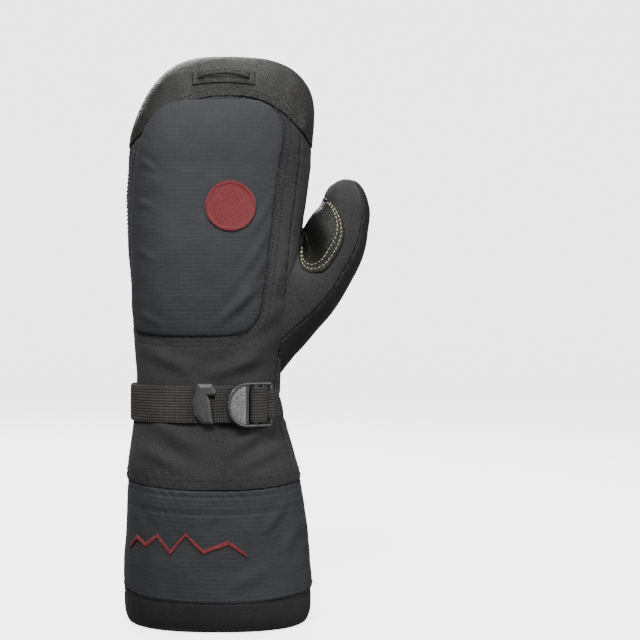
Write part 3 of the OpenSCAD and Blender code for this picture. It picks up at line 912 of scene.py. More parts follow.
def cloth_object(
    name: str,
    patch: Patch,
    material: bpy.types.Material,
    thickness: float = 0.0,
    lid: bool = False,
    keep: Optional[Array] = None,
    cloth: Optional[Array] = None,
) -> bpy.types.Object:
    """Makes a mesh object from a patch of cloth.

    Args:
        name: the object's name.
        patch: the outer face.
        material: its finish.
        thickness: how far inside the inner face lies, or zero for a single face.
        lid: closes the last row to a point.
        keep: which grid cells to keep.
        cloth: map position of each grid point in millimetres, or the patch's own.
    Returns:
        The new object, at the origin.
    """
    rows, cols = patch.along.shape
    faces = [tuple(f) for f in grid_faces(rows, cols, keep).tolist()]
    points = patch.points.reshape(-1, 3)
    normals = patch.normals.reshape(-1, 3)
    flat = patch.cloth().copy() if cloth is None else cloth.copy()
    if cloth is None:
        flat[..., 0] -= flat[:, cols // 2 : cols // 2 + 1, 0]
    flat = flat.reshape(-1, 2)
    wear_and_highlight = np.zeros(rows * cols) if patch.wear_and_highlight is None else np.broadcast_to(
        patch.wear_and_highlight, patch.along.shape
    ).ravel()
    if lid:
        pole = rows * cols
        last = (rows - 1) * cols
        faces += [(last + c, pole, last + c + 1) for c in range(cols - 1)]
        points = np.vstack([points, points[last:].mean(0)])
        up = normals[last:].mean(0)
        normals = np.vstack([normals, up / np.linalg.norm(up)])
        flat = np.vstack([flat, flat[last:].mean(0)])
        wear_and_highlight = np.append(wear_and_highlight, wear_and_highlight[last:].mean())
    same = np.arange(len(points))
    if patch.closed:
        ends = np.arange(rows) * cols + cols - 1
        same[ends] = ends - (cols - 1)
    solid = [tuple(int(same[i]) for i in f) for f in faces]
    maps = [tuple(f) for f in faces]
    if thickness > 0:
        shift = len(points)
        points = np.vstack([points, points - normals * thickness])
        flat, wear_and_highlight = np.vstack([flat, flat]), np.append(wear_and_highlight, wear_and_highlight)
        rim = rim_faces(solid, shift)
        inner = [tuple(i + shift for i in reversed(f)) for f in solid]
        maps = maps + [tuple(i + shift for i in reversed(f)) for f in maps] + rim
        solid = solid + inner + rim
    return mesh_object(name, points, solid, material, flat / UV_UNIT, maps, wear_and_highlight)


def mesh_object(
    name: str,
    points: Array,
    faces: Sequence[Sequence[int]],
    material: Optional[bpy.types.Material],
    flat: Optional[Array] = None,
    maps: Optional[Sequence[Sequence[int]]] = None,
    wear_and_highlight: Optional[Array] = None,
    smooth: bool = True,
) -> bpy.types.Object:
    """Makes a mesh object and drops the points that no face uses.

    Args:
        name: the object's name.
        points: places in millimetres.
        faces: point numbers of each face.
        material: its finish.
        flat: fabric map position of each point.
        maps: for each face, the numbers in flat that its corners use, if not the points' own.
        wear_and_highlight: how much each point is lightened, from 0 to 1: rubbed edges and random rubbed
            patches, and on the wrist gathers a painted highlight on the raised folds.
        smooth: whether the faces are shaded smoothly.
    Returns:
        The new object, at the origin.
    """
    used = np.unique([i for f in faces for i in f])
    number = np.zeros(len(points), int)
    number[used] = np.arange(len(used))
    mesh = bpy.data.meshes.new(name)
    corners = np.array([i for f in faces for i in f])
    totals = np.array([len(f) for f in faces])
    mesh.vertices.add(len(used))
    mesh.vertices.foreach_set("co", (points[used] * MM).ravel())
    mesh.loops.add(len(corners))
    mesh.loops.foreach_set("vertex_index", number[corners])
    mesh.polygons.add(len(totals))
    mesh.polygons.foreach_set("loop_start", np.concatenate([[0], np.cumsum(totals)[:-1]]))
    mesh.polygons.foreach_set("use_smooth", np.full(len(totals), smooth))
    if flat is not None:
        layer = mesh.uv_layers.new(name="fabric")
        order = corners if maps is None else np.array([i for f in maps for i in f])
        layer.data.foreach_set("uv", flat[order].ravel())
    if wear_and_highlight is not None:
        attribute = mesh.attributes.new("wear_and_highlight", "FLOAT", "POINT")
        attribute.data.foreach_set("value", wear_and_highlight[used].astype(np.float32))
    mesh.update(calc_edges=True)
    mesh.validate()
    if material is not None:
        mesh.materials.append(material)
    made = bpy.data.objects.new(name, mesh)
    bpy.context.scene.collection.objects.link(made)
    return made


def plain_mesh(source: bpy.types.Object, name: str) -> bpy.types.Object:
    """Replaces an object by a plain mesh of what its modifiers make.

    Args:
        source: object with modifiers, which is removed.
        name: name of the new object.
    Returns:
        The plain object.
    """
    graph = bpy.context.evaluated_depsgraph_get()
    mesh = bpy.data.meshes.new_from_object(source.evaluated_get(graph))
    bpy.data.objects.remove(source)
    mesh.name = name
    made = bpy.data.objects.new(name, mesh)
    bpy.context.scene.collection.objects.link(made)
    return made


# --------------------------------------------------------------------------- what carries a piece


@dataclass(frozen=True)
class Carrier:
    """What a piece moves with: one body, or two that it spans."""

    body: Body
    far_body: Optional[Body] = None
    start: tuple[float, float, float] = (0.0, 0.0, 0.0)
    end: tuple[float, float, float] = (0.0, 0.0, 0.0)

    def take(self, made: bpy.types.Object) -> None:
        """Makes the object ride on its one body; a piece between two bodies only has its transform baked.

        Args:
            made: finished object at rest.
        """
        if self.far_body is None:
            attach(made, self.body.value)
            return
        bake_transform(made)


ON_GAUNTLET = Carrier(Body.GAUNTLET)
ON_HAND = Carrier(Body.HAND)
ON_BUCKLE = Carrier(Body.BUCKLE)
ON_STRAP_END = Carrier(Body.STRAP_END)
OVER_WRIST = Carrier(Body.GAUNTLET, Body.HAND, (0.0, 0.0, 84.0), (0.0, 0.0, 107.0))
ALONG_THUMB = Carrier(Body.HAND, Body.THUMB, (59.9, 0.0, 201.4), (72.4, 0.0, 214.4))


def hand_in(made: bpy.types.Object, carrier: Carrier, slot: str, *nodes: str) -> bpy.types.Object:
    """Finishes a piece: attaches it to what carries it and hides the frame nodes it stands for.

    Args:
        made: the piece.
        carrier: what it moves with.
        slot: name of its slot; not used.
        nodes: nodes that it replaces.
    Returns:
        The same piece.
    """
    carrier.take(made)
    if nodes:
        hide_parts(*nodes)
    LOG.info("%s: %d faces", made.name, len(made.data.polygons))
    return made


# --------------------------------------------------------------------------- sewing


class Thread(Enum):
    """The threads, each with its finish and the slot it belongs to."""

    DARK = ("dark_thread", "softshell")
    GREY = ("grey_thread", "palm_leather")
    CONTRAST = ("contrast_thread", "palm_leather")


@dataclass(frozen=True)
class Stitch:
    """Sizes of one kind of stitch in millimetres."""

    pitch: float = 2.9
    length: float = 2.1
    width: float = 0.55


@dataclass
class Sewing:
    """Collects seam lines and turns them into rows of thread."""

    lines: dict[tuple[Thread, Carrier, Stitch], list[Array]] = field(default_factory=dict)

    def sew(self, line: Array, thread: Thread, carrier: Carrier, stitch: Stitch = Stitch()) -> None:
        """Adds one row.

        Args:
            line: places along the row in millimetres, just off the cloth.
            thread: which thread.
            carrier: what the row moves with.
            stitch: sizes.
        """
        self.lines.setdefault((thread, carrier, stitch), []).append(line)

    @staticmethod
    def tree() -> bpy.types.NodeTree:
        """Builds the node tree that lays small threads along edges and returns it."""
        tree = bpy.data.node_groups.new("stitch_row", "GeometryNodeTree")
        face = tree.interface
        face.new_socket("Geometry", in_out="INPUT", socket_type="NodeSocketGeometry")
        for name in ("Pitch", "Length", "Width"):
            face.new_socket(name, in_out="INPUT", socket_type="NodeSocketFloat")
        face.new_socket("Seed", in_out="INPUT", socket_type="NodeSocketInt")
        face.new_socket("Thread", in_out="INPUT", socket_type="NodeSocketMaterial")
        face.new_socket("Geometry", in_out="OUTPUT", socket_type="NodeSocketGeometry")

        def node(kind: str, **settings: object) -> bpy.types.Node:
            """Adds a node to the stitch tree with its settings."""
            made = tree.nodes.new(kind)
            for key, value in settings.items():
                setattr(made, key, value)
            return made

        link = tree.links.new
        given, out = node("NodeGroupInput"), node("NodeGroupOutput")
        curve = node("GeometryNodeMeshToCurve")
        row = node("GeometryNodeResampleCurve", mode="LENGTH")
        ball = node("GeometryNodeMeshUVSphere")
        ball.inputs["Segments"].default_value = 6
        ball.inputs["Rings"].default_value = 4
        ball.inputs["Radius"].default_value = 0.5
        shape = node("ShaderNodeCombineXYZ")
        thick = node("ShaderNodeMath", operation="MULTIPLY")
        thick.inputs[1].default_value = 0.75
        body = node("GeometryNodeTransform")
        tangent = node("GeometryNodeInputTangent")
        turn = node("FunctionNodeAlignRotationToVector", axis="X")
        vary = node("FunctionNodeRandomValue", data_type="FLOAT")
        vary.inputs[2].default_value = 0.9
        vary.inputs[3].default_value = 1.08
        place = node("GeometryNodeInstanceOnPoints")
        real = node("GeometryNodeRealizeInstances")
        smooth = node("GeometryNodeSetShadeSmooth")
        paint = node("GeometryNodeSetMaterial")
        link(given.outputs["Geometry"], curve.inputs[0])
        link(curve.outputs[0], row.inputs[0])
        link(given.outputs["Pitch"], row.inputs["Length"])
        link(given.outputs["Length"], shape.inputs[0])
        link(given.outputs["Width"], shape.inputs[1])
        link(given.outputs["Width"], thick.inputs[0])
        link(thick.outputs[0], shape.inputs[2])
        link(ball.outputs[0], body.inputs[0])
        link(shape.outputs[0], body.inputs["Scale"])
        link(tangent.outputs[0], turn.inputs["Vector"])
        link(given.outputs["Seed"], vary.inputs["Seed"])
        link(row.outputs[0], place.inputs["Points"])
        link(body.outputs[0], place.inputs["Instance"])
        link(turn.outputs[0], place.inputs["Rotation"])
        link(vary.outputs[1], place.inputs["Scale"])
        link(place.outputs[0], real.inputs[0])
        link(real.outputs[0], smooth.inputs[0])
        link(smooth.outputs[0], paint.inputs[0])
        link(given.outputs["Thread"], paint.inputs["Material"])
        link(paint.outputs[0], out.inputs[0])
        return tree

    def make(self) -> None:
        """Turns every collected row into thread."""
        tree = self.tree()
        keys = {item.name: item.identifier for item in tree.interface.items_tree if item.in_out == "INPUT"}
        for number, ((thread, carrier, stitch), lines) in enumerate(self.lines.items()):
            finish, slot = thread.value
            path = bpy.data.meshes.new("path")
            count, edges = 0, []
            for line in lines:
                edges += [(count + i, count + i + 1) for i in range(len(line) - 1)]
                count += len(line)
            path.from_pydata((np.vstack(lines) * MM).tolist(), edges, [])
            holder = bpy.data.objects.new("path", path)
            bpy.context.scene.collection.objects.link(holder)
            modifier = holder.modifiers.new("rows", "NODES")
            modifier.node_group = tree
            modifier[keys["Pitch"]] = stitch.pitch * MM
            modifier[keys["Length"]] = stitch.length * MM
            modifier[keys["Width"]] = stitch.width * MM
            modifier[keys["Seed"]] = 11
            modifier[keys["Thread"]] = FINISHES.get(finish)
            made = plain_mesh(holder, f"stitches_{thread.name.lower()}_{number}")
            hand_in(made, carrier, slot)


SEWING = Sewing()


def relief(patch: Patch, size: float, height: float, seed: int, layers: int = 3) -> Array:
    """Gives soft unevenness over a patch, the same in neighbouring patches."""
    return layered_noise(patch.points, size, seed, layers) * height


@dataclass
class Surface:
    """The outer face of a finished piece, for laying other pieces on it."""

    piece: bpy.types.Object

    def __post_init__(self) -> None:
        """Prepares the search tree."""
        mesh = self.piece.data
        places = [v.co.copy() for v in mesh.vertices]
        self.tree = BVHTree.FromPolygons(places, [tuple(p.vertices) for p in mesh.polygons])

    def lay(self, x: Array, z: Array, lift: float = 0.0, fallback: Optional[Array] = None) -> Array:
        """Lays places seen from the back onto the piece.

        Args:
            x: millimetres in X.
            z: millimetres in Z.
            lift: how far off the cloth they lie.
            fallback: places to use where the piece isn't met.
        Returns:
            The places in millimetres.
        """
        x, z = np.broadcast_arrays(np.asarray(x, float), np.asarray(z, float))
        found = np.zeros(x.shape + (3,))
        for index in np.ndindex(x.shape):
            start = Vector((x[index] * MM, -0.2, z[index] * MM))
            hit, normal, _, _ = self.tree.ray_cast(start, Vector((0, 1, 0)))
            if hit is None:
                spot = fallback[index] if fallback is not None else np.array([x[index], -27.0, z[index]])
                found[index] = spot
                continue
            found[index] = (np.array(hit) + np.array(normal) * lift * MM) / MM
        return found


def smooth_loop(knots: Sequence[Sequence[float]], count: int) -> Array:
    """Runs a closed curve through knots.

    Args:
        knots: places it passes through.
        count: how many points it gets.
    Returns:
        Evenly spaced places, the last equal to the first.
    """
    k = np.array(knots, float)
    before, after, later = np.roll(k, 1, 0), np.roll(k, -1, 0), np.roll(k, -2, 0)
    t = np.linspace(0, 1, 24, endpoint=False)[:, None, None]
    path = 0.5 * (
        2 * k
        + (after - before) * t
        + (2 * before - 5 * k + 4 * after - later) * t**2
        + (3 * k - before - 3 * after + later) * t**3
    )
    path = path.transpose(1, 0, 2).reshape(-1, k.shape[1])
    return even_line(np.vstack([path, path[:1]]), count)


def even_line(line: Array, count: int) -> Array:
    """Spaces the points of a line evenly."""
    run = np.concatenate([[0], np.cumsum(np.linalg.norm(np.diff(line, axis=0), axis=1))])
    at = np.linspace(0, run[-1], count)
    return np.stack([np.interp(at, run, line[:, k]) for k in range(line.shape[1])], axis=1)


def outline_distance(places: Array, loop: Array) -> Array:
    """Measures how far places seen from the back are from an outline.

    Args:
        places: X and Z on the last axis.
        loop: the outline's points.
    Returns:
        Millimetres.
    """
    flat = places.reshape(-1, 2)
    gap = np.min(np.linalg.norm(flat[:, None] - loop[None], axis=-1), axis=1)
    return gap.reshape(places.shape[:-1])


def swept(
    path: Array, side: Array, half_w: float, half_h: float, power: float = 4.0, count: int = 16
) -> tuple[Array, list]:
    """Sweeps a rounded bar along a path.

    Args:
        path: middle of the bar in millimetres.
        side: direction of the bar's width at each point of the path.
        half_w: half its width.
        half_h: half its height.
        power: how square its section is.
        count: points round the section.
    Returns:
        Points and faces of the closed bar.
    """
    ahead = np.gradient(path, axis=0)
    ahead /= np.linalg.norm(ahead, axis=1, keepdims=True)
    side = side - ahead * np.sum(side * ahead, axis=1, keepdims=True)
    side /= np.linalg.norm(side, axis=1, keepdims=True)
    high = np.cross(ahead, side)
    a = np.linspace(0, 2 * math.pi, count, endpoint=False)
    c, s = np.cos(a), np.sin(a)
    w = half_w * np.sign(c) * np.abs(c) ** (2 / power)
    h = half_h * np.sign(s) * np.abs(s) ** (2 / power)
    rings = path[:, None] + side[:, None] * w[None, :, None] + high[:, None] * h[None, :, None]
    n = len(path)
    faces = [
        (r * count + k, r * count + (k + 1) % count, (r + 1) * count + (k + 1) % count, (r + 1) * count + k)
        for r in range(n - 1)
        for k in range(count)
    ]
    points = np.vstack([rings.reshape(-1, 3), path[:1], path[-1:]])
    first, last = n * count, n * count + 1
    faces += [(first, (k + 1) % count, k) for k in range(count)]
    base = (n - 1) * count
    faces += [(last, base + k, base + (k + 1) % count) for k in range(count)]
    return points, faces


def joined(parts: Sequence[tuple[Array, list]]) -> tuple[Array, list]:
    """Puts several closed shapes into one list of points and faces."""
    points, faces, count = [], [], 0
    for p, f in parts:
        points.append(p)
        faces += [tuple(i + count for i in one) for one in f]
        count += len(p)
    return np.vstack(points), faces


# --------------------------------------------------------------------------- gauntlet


@dataclass
class Gauntlet:
    """The wide cuff: hem band, ripstop shell, folded casing, lining and the stitched ridge mark."""

    form: MittenForm
    hem_h: float = 16.0
    top: float = 75.6
    casing_top: float = 82.8
    columns: int = 330

    def ring(self, levels: Array, out: Array = 0.0, first: float = 200.0) -> Patch:
        """Makes a closed patch round the cuff.

        Args:
            levels: heights.
            out: millimetres outside, one value or one for each height.
            first: angle of the first column.
        Returns:
            The patch.
        """
        angles = np.linspace(first, first + 360, self.columns + 1)
        return Patch(
            self.form.point(angles[None, :], levels[:, None], np.reshape(out, (-1, 1))), closed=True
        )

    def build(self) -> None:
        """Makes every piece of the cuff."""
        self.hem()
        self.shell()
        self.casing()
        self.lining()
        self.mark()

    def hem(self) -> None:
        """Makes the stretch band round the mouth, turned in over its edge."""
        roll = np.linspace(0, math.pi, 14)
        radius = 1.3
        levels = np.concatenate([
            np.linspace(self.hem_h, radius, 20), radius * (1 - np.sin(roll)),
            np.linspace(radius, self.hem_h, 10)
        ])
        out = np.concatenate([np.zeros(20), -radius * (1 - np.cos(roll)), np.full(10, -2 * radius)])
        out = out - 2.8 * np.clip(1 - levels / 9.0, 0, 1) ** 2
        patch = self.ring(levels[::-1], out[::-1])
        outside = np.linspace(0, 1, len(levels))[:, None] > 0.45
        lift = relief(patch, 26, 0.5, 5) + puckers(
            patch.along, np.abs(patch.points[..., 2] - self.hem_h), 6.5, 0.28, 5.0, 9
        )
        lift += hem_fold(np.abs(patch.points[..., 2] - self.hem_h), 0.9, 1.8)
        patch.push(np.where(outside, lift, 0) * smoothstep(-0.5, 1.0, patch.points[..., 2]))
        patch.points[..., 2] = np.maximum(patch.points[..., 2], 0.0)
        patch.wear_and_highlight = (1 - smoothstep(0.0, 3.0, patch.points[..., 2])) * 0.5
        made = cloth_object("hem_band_cloth", patch, FINISHES.get("hem_fabric"))
        hand_in(made, ON_GAUNTLET, "hem_fabric", "hem_band")

    def shell(self) -> None:
        """Makes the ripstop shell with its seams and dotted stitch rows."""
        levels = np.linspace(self.hem_h - 0.3, self.top, 62)
        patch = self.ring(levels)
        z = levels[:, None]
        low, high = z - self.hem_h + 0.3, self.top - z
        lift = relief(patch, 34, 1.25, 21) + relief(patch, 11, 0.35, 33, 2)
        lift += puckers(patch.along, low, 7.5, 0.32, 4.5, 3) + puckers(patch.along, high, 6.0, 0.35, 4.0, 4)
        lift += hem_fold(low, 0.9, 2.0) + hem_fold(high, 1.0, 2.2)
        for row in (72.3, 63.3):
            lift -= 0.6 * np.exp(-(((z - row) / 0.7) ** 2))
            lift += puckers(patch.along, np.abs(z - row), 5.2, 0.16, 2.6, int(row))
        seam = patch.along[:, :1] + (380 - 200) / 360 * patch.along[:, -1:]
        lift -= 1.3 * np.exp(-(((patch.along - seam) / 1.0) ** 2))
        lift += puckers(patch.up, np.abs(patch.along - seam), 8.0, 0.4, 4.0, 27)
        folds = (
            Crease((38, 68), (26, 52), 2.6, 1.0),
            Crease((48, 60), (36, 40), 3.4, 1.0),
            Crease((-46, 66), (-36, 48), 3.2, 0.9),
            Crease((8, 66), (-8, 58), 3.0, 0.5),
            Crease((30, 34), (6, 24), 4.0, 0.7),
        )
        facing = np.clip(-patch.normals[..., 1], 0, 1)
        for fold in folds:
            lift += fold.offset(patch.points[..., [0, 2]]) * facing
        patch.push(lift)
        patch.wear_and_highlight = 0.35 * np.exp(-high / 1.2) + 0.25 * np.exp(-low / 1.5)
        made = cloth_object("gauntlet_ripstop", patch, FINISHES.get("ripstop"), 1.0)
        hand_in(made, ON_GAUNTLET, "ripstop", "gauntlet_shell")
        for row in (72.3, 63.3, 17.6):
            line = patch.at(np.linspace(0, 1, 700), (row - 15.7) / (self.top - 15.7), 0.15)
            SEWING.sew(line, Thread.DARK, ON_GAUNTLET, Stitch(2.4, 1.7, 0.5))
        side = patch.at((380 - 200) / 360, np.linspace(0, 1, 100), 0.0)
        SEWING.sew(side, Thread.DARK, ON_GAUNTLET, Stitch(2.6, 2.0, 0.5))

    def casing(self) -> None:
        """Makes the folded casing above the ripstop."""
        levels = np.linspace(self.top - 0.2, self.casing_top, 16)
        t = np.linspace(0, 1, 16)
        patch = self.ring(levels, 0.55 * np.sqrt(np.clip(1 - (2 * t - 1) ** 8, 0, 1)) - 0.35)
        patch.push(puckers(
            patch.along, 3 * np.abs(t[:, None] - 0.55), 6.0, 0.3, 3.0, 12
        ) + relief(patch, 14, 0.3, 13))
        made = cloth_object("cuff_casing_cloth", patch, FINISHES.get("casing_fabric"), 1.0)
        hand_in(made, ON_GAUNTLET, "casing_fabric", "cuff_casing")
        for row in (0.3, 0.72):
            line = patch.at(np.linspace(0, 1, 700), row, 0.12)
            SEWING.sew(line, Thread.DARK, ON_GAUNTLET, Stitch(2.4, 1.8, 0.5))

    def lining(self) -> None:
        """Makes the fleece inside the cuff."""
        patch = self.ring(np.linspace(self.hem_h - 1.0, self.casing_top - 1.2, 40), -2.6)
        patch.push(relief(patch, 18, 0.3, 41))
        made = cloth_object("gauntlet_fleece", patch, FINISHES.get("fleece"), 0.8)
        hand_in(made, ON_GAUNTLET, "fleece", "gauntlet_lining")

    def mark(self) -> None:
        """Makes the embroidered ridge line."""
        peaks = np.array([40, 47, 42, 51, 41, 49, 43, 46, 40], float)
        angles = np.linspace(76, 152, len(peaks))
        fine = np.linspace(76, 152, 241)
        ridge = np.interp(fine, angles, peaks)
        across = np.linspace(0, 1, 9)
        level = ridge[None, :] + 2.4 * across[:, None]
        swell = 0.55 * np.sqrt(np.clip(1 - (2 * across - 1) ** 4, 0, 1))[:, None]
        wave = 0.1 * np.sin(fine * 9.5)[None, :]
        patch = Patch(self.form.point(fine[None, :], level, 0.35 + swell + wave))
        patch.push(relief(patch, 34, 1.25, 21))
        made = cloth_object("ridge_embroidery", patch, FINISHES.get("embroidery"), 0.9)
        hand_in(made, ON_GAUNTLET, "embroidery", "gauntlet_mark")


# --------------------------------------------------------------------------- hand


@dataclass
class HandShell:
    """The outer panels of the hand: softshell back and side, gathered wrist, palm leather and fingertip cap."""

    form: MittenForm
    bottom: float = 81.2
    gather_top: float = 146.0
    little_seam: float = 205.0
    side_low: float = -16.0
    step: float = 1.1
    root_angle: float = 33.0
    root_z: float = 177.0
    root_half: float = 41.0

    def thumb_seam(self, level: Array) -> Array:
        """Gives the angle of the seam between the back and the side panel."""
        return 24.0 + 9.0 * smoothstep(150, 196, np.asarray(level, float))

    def panel(self, first: Callable, last: Callable, low: float, columns: int) -> Patch:
        """Makes a patch that ends at the fingertip cap's seam.

        Args:
            first: angle of the first column at a level.
            last: angle of the last column at a level.
            low: level of the first row.
            columns: how many columns.
        Returns:
            The patch.
        """
        straight = np.arange(low, self.form.dome_z, self.step)
        u = np.linspace(0, 1, columns)
        top = 34
        level = np.vstack([np.repeat(straight[:, None], columns, 1), np.zeros((top, columns))])
        angle = first(level) * (1 - u) + last(level) * u
        end_angle = first(np.full(columns, 260.0)) * (1 - u) + last(np.full(columns, 260.0)) * u
        seam = self.form.cap_seam(end_angle)
        t = np.linspace(0, 1, top)[:, None]
        level[len(straight) :] = self.form.dome_z * (1 - t) + seam[None, :] * t
        angle = first(level) * (1 - u) + last(level) * u
        return Patch(self.form.point(angle, level))

    def outside_thumb(self, patch: Patch, inset: float = 0.9) -> Array:
        """Tells which grid cells are outside the thumb's root.

        Args:
            patch: a panel of the hand.
            inset: share of the root's size that is cut out.
        Returns:
            A flag for each cell.
        """
        p = patch.points
        f = self.form.section(np.minimum(p[..., 2], self.form.dome_z))
        side = np.degrees(
            np.arctan2((f[..., 1] - p[..., 1]) / f[..., 3], (p[..., 0] - f[..., 0]) / f[..., 2])
        )
        near = np.hypot(side / self.root_angle, (p[..., 2] - self.root_z) / self.root_half) < inset
        inside = near & (p[..., 0] > 0)
        cell = inside[:-1, :-1] & inside[1:, :-1] & inside[:-1, 1:] & inside[1:, 1:]
        return ~cell

    def build(self) -> dict[str, Surface]:
        """Makes the panels.

        Returns:
            The surfaces that other pieces lie on, by name.
        """
        back = self.back()
        self.side()
        self.gather()
        palm = self.palm()
        cap = self.cap()
        return {"back": Surface(back), "palm": Surface(palm), "cap": Surface(cap)}

    def back(self) -> bpy.types.Object:
        """Makes the softshell back and returns it."""
        patch = self.panel(
            self.thumb_seam, lambda level: np.full_like(level, self.little_seam), self.bottom, 150
        )
        p = patch.points
        seen = p[..., [0, 2]]
        facing = np.clip(-patch.normals[..., 1], 0, 1)
        lift = relief(patch, 34, 0.8, 51) + relief(patch, 11, 0.22, 57, 2)
        folds = (
            Crease((-40, 116), (-8, 97), 4.5, 1.7),
            Crease((36, 116), (4, 92), 4.0, 2.0),
            Crease((40, 100), (10, 86), 3.5, 1.5),
            Crease((-43, 98), (-14, 86), 3.5, 1.3),
            Crease((36, 178), (16, 150), 4.0, 1.6),
            Crease((38, 160), (8, 141), 4.2, 2.1),
            Crease((34, 148), (-6, 136), 3.6, 1.6),
            Crease((-42, 152), (-12, 139), 3.8, 1.4),
            Crease((39, 205), (30, 176), 3.0, 0.9),
            Crease((45, 240), (38, 214), 3.2, 0.7),
        )
        for fold in folds:
            lift += fold.offset(seen) * facing
        edge = patch.distance((Edge.FIRST, Edge.LAST, Edge.HIGH))
        lift += hem_fold(edge, 1.0, 2.0) + hem_fold(patch.up, 1.1, 2.2)
        lift += puckers(patch.up, patch.along, 7.0, 0.3, 4.0, 61)
        lift += puckers(patch.along, patch.up, 6.5, 0.45, 4.5, 64)
        lift += puckers(patch.along, patch.up[-1:] - patch.up, 6.0, 0.25, 3.0, 67)
        gap = outline_distance(seen, BackPad(self.form).outline(0.0, 240))
        near = (p[..., 1] < 0) & (gap < 30)
        for away in (1.5, 4.3):
            lift -= np.where(near, 0.55 * np.exp(-(((gap - away) / 0.6) ** 2)), 0)
        lift += np.where(near, puckers(p[..., 0] + p[..., 2], gap, 5.0, 0.3, 5.0, 69), 0)
        patch.push(lift)
        patch.wear_and_highlight = 0.3 * np.exp(-edge / 1.2)
        made = cloth_object(
            "back_softshell", patch, FINISHES.get("softshell"), 1.0, keep=self.outside_thumb(patch)
        )
        hand_in(made, OVER_WRIST, "softshell", "wrist_sleeve", "back_shell")
        SEWING.sew(patch.beside(Edge.FIRST, 2.4, 0.12), Thread.DARK, OVER_WRIST, Stitch(2.6, 1.9, 0.5))
        return made

    def side(self) -> None:
        """Makes the softshell panel between the thumb seam and the palm."""
        patch = self.panel(
            lambda level: np.full_like(level, self.side_low), self.thumb_seam, self.gather_top, 52
        )
        lift = relief(patch, 30, 0.7, 51) + relief(patch, 10, 0.2, 57, 2)
        edge = patch.distance((Edge.FIRST, Edge.LAST, Edge.HIGH, Edge.LOW))
        patch.push(lift + hem_fold(edge, 1.0, 2.0) + puckers(
            patch.up, patch.along[:, -1:] - patch.along, 6.5, 0.3, 4.0, 63
        ))
        patch.wear_and_highlight = 0.25 * np.exp(-edge / 1.2)
        made = cloth_object(
            "side_softshell", patch, FINISHES.get("softshell"), 1.0, keep=self.outside_thumb(patch)
        )
        hand_in(made, ON_HAND, "softshell")
        SEWING.sew(patch.beside(Edge.FIRST, 2.2, 0.0), Thread.DARK, ON_HAND, Stitch(2.6, 1.9, 0.5))

    def gather(self) -> None:
        """Makes the wrist on the palm side, gathered by two rows of elastic stitching."""
        angles = np.linspace(self.little_seam, 384.3, 230)
        levels = np.arange(self.bottom, self.gather_top + 0.4, 0.8)
        patch = Patch(self.form.point(angles[None, :], levels[:, None]))
        z = patch.points[..., 2]
        lift = relief(patch, 26, 0.7, 71)
        ends = np.sin(np.pi * np.linspace(0, 1, len(angles)))[None, :] ** 0.4
        between = np.exp(-(((z - 118) / 17) ** 2))
        gathers = puckers(patch.along, np.abs(z - 118) * 0.0, 6.2, 1.5, 1.0, 73) * between
        fine = puckers(patch.along + 0.05 * (z - 118), np.abs(z - 118), 3.4, 0.55, 9.0, 79)
        lift += (gathers + fine) * ends
        for row in (112.0, 124.0):
            lift -= 1.0 * np.exp(-(((z - row) / 1.6) ** 2)) * ends
        edge = patch.distance((Edge.FIRST, Edge.LAST, Edge.HIGH))
        patch.push(lift + hem_fold(edge, 1.0, 2.0) + hem_fold(patch.up, 1.1, 2.2))
        # Painted highlight: the gathers are lightened as far as they stand out, so the hollows between them
        # stay darker as painted shade.
        patch.wear_and_highlight = np.clip(lift, 0, 1.5) * 0.15
        made = cloth_object(
            "wrist_gathers", patch, FINISHES.get("softshell"), 1.0, keep=self.outside_thumb(patch)
        )
        hand_in(made, OVER_WRIST, "softshell", "wrist_gather_panel")
        for row in (112.0, 124.0):
            share = (row - self.bottom) / (levels[-1] - self.bottom)
            SEWING.sew(
                patch.at(np.linspace(0.03, 0.97, 500), share, 0.1), Thread.DARK, OVER_WRIST,
                Stitch(2.2, 1.7, 0.6)
            )

    def palm(self) -> bpy.types.Object:
        """Makes the leather palm and returns it."""
        last = 360 + self.side_low
        patch = self.panel(
            lambda level: np.full_like(level, self.little_seam),
            lambda level: np.full_like(level, last),
            self.gather_top + 0.6,
            140,
        )
        seen = patch.points[..., [0, 2]]
        facing = np.clip(patch.normals[..., 1], 0, 1)
        lift = relief(patch, 40, 1.3, 81) + relief(patch, 13, 0.4, 83, 3)
        folds = (
            Crease((44, 214), (6, 186), 5.0, 2.0),
            Crease((42, 190), (0, 168), 5.5, 2.1),
            Crease((30, 168), (-14, 158), 4.0, 1.2),
            Crease((-6, 240), (-36, 214), 5.0, 1.2),
            Crease((34, 244), (4, 226), 4.5, 1.3),
            Crease((-40, 190), (-18, 166), 4.5, 1.2),
            Crease((24, 262), (-16, 252), 5.0, 1.0),
        )
        for fold in folds:
            lift += fold.offset(seen) * facing
        edge = patch.distance((Edge.FIRST, Edge.LAST, Edge.HIGH, Edge.LOW))
        lift += hem_fold(edge, 1.0, 2.2) + puckers(patch.along, patch.up, 7.0, 0.6, 7.0, 87)
        lift += puckers(patch.up, patch.along, 8.0, 0.4, 5.0, 88)
        patch.push(lift)
        patch.wear_and_highlight = np.clip(relief(patch, 30, 1.0, 91), 0, 1) * 0.4 + 0.3 * np.exp(-edge / 1.5)
        made = cloth_object(
            "palm_leather_panel", patch, FINISHES.get("palm_leather"), 1.0,
            keep=self.outside_thumb(patch)
        )
        hand_in(made, ON_HAND, "palm_leather", "palm_leather")
        for edge_name, inset in ((Edge.LOW, 2.0), (Edge.LOW, 4.4), (Edge.FIRST, 2.2), (Edge.HIGH, 2.0)):
            SEWING.sew(patch.beside(edge_name, inset, 0.0), Thread.GREY, ON_HAND)
        return made

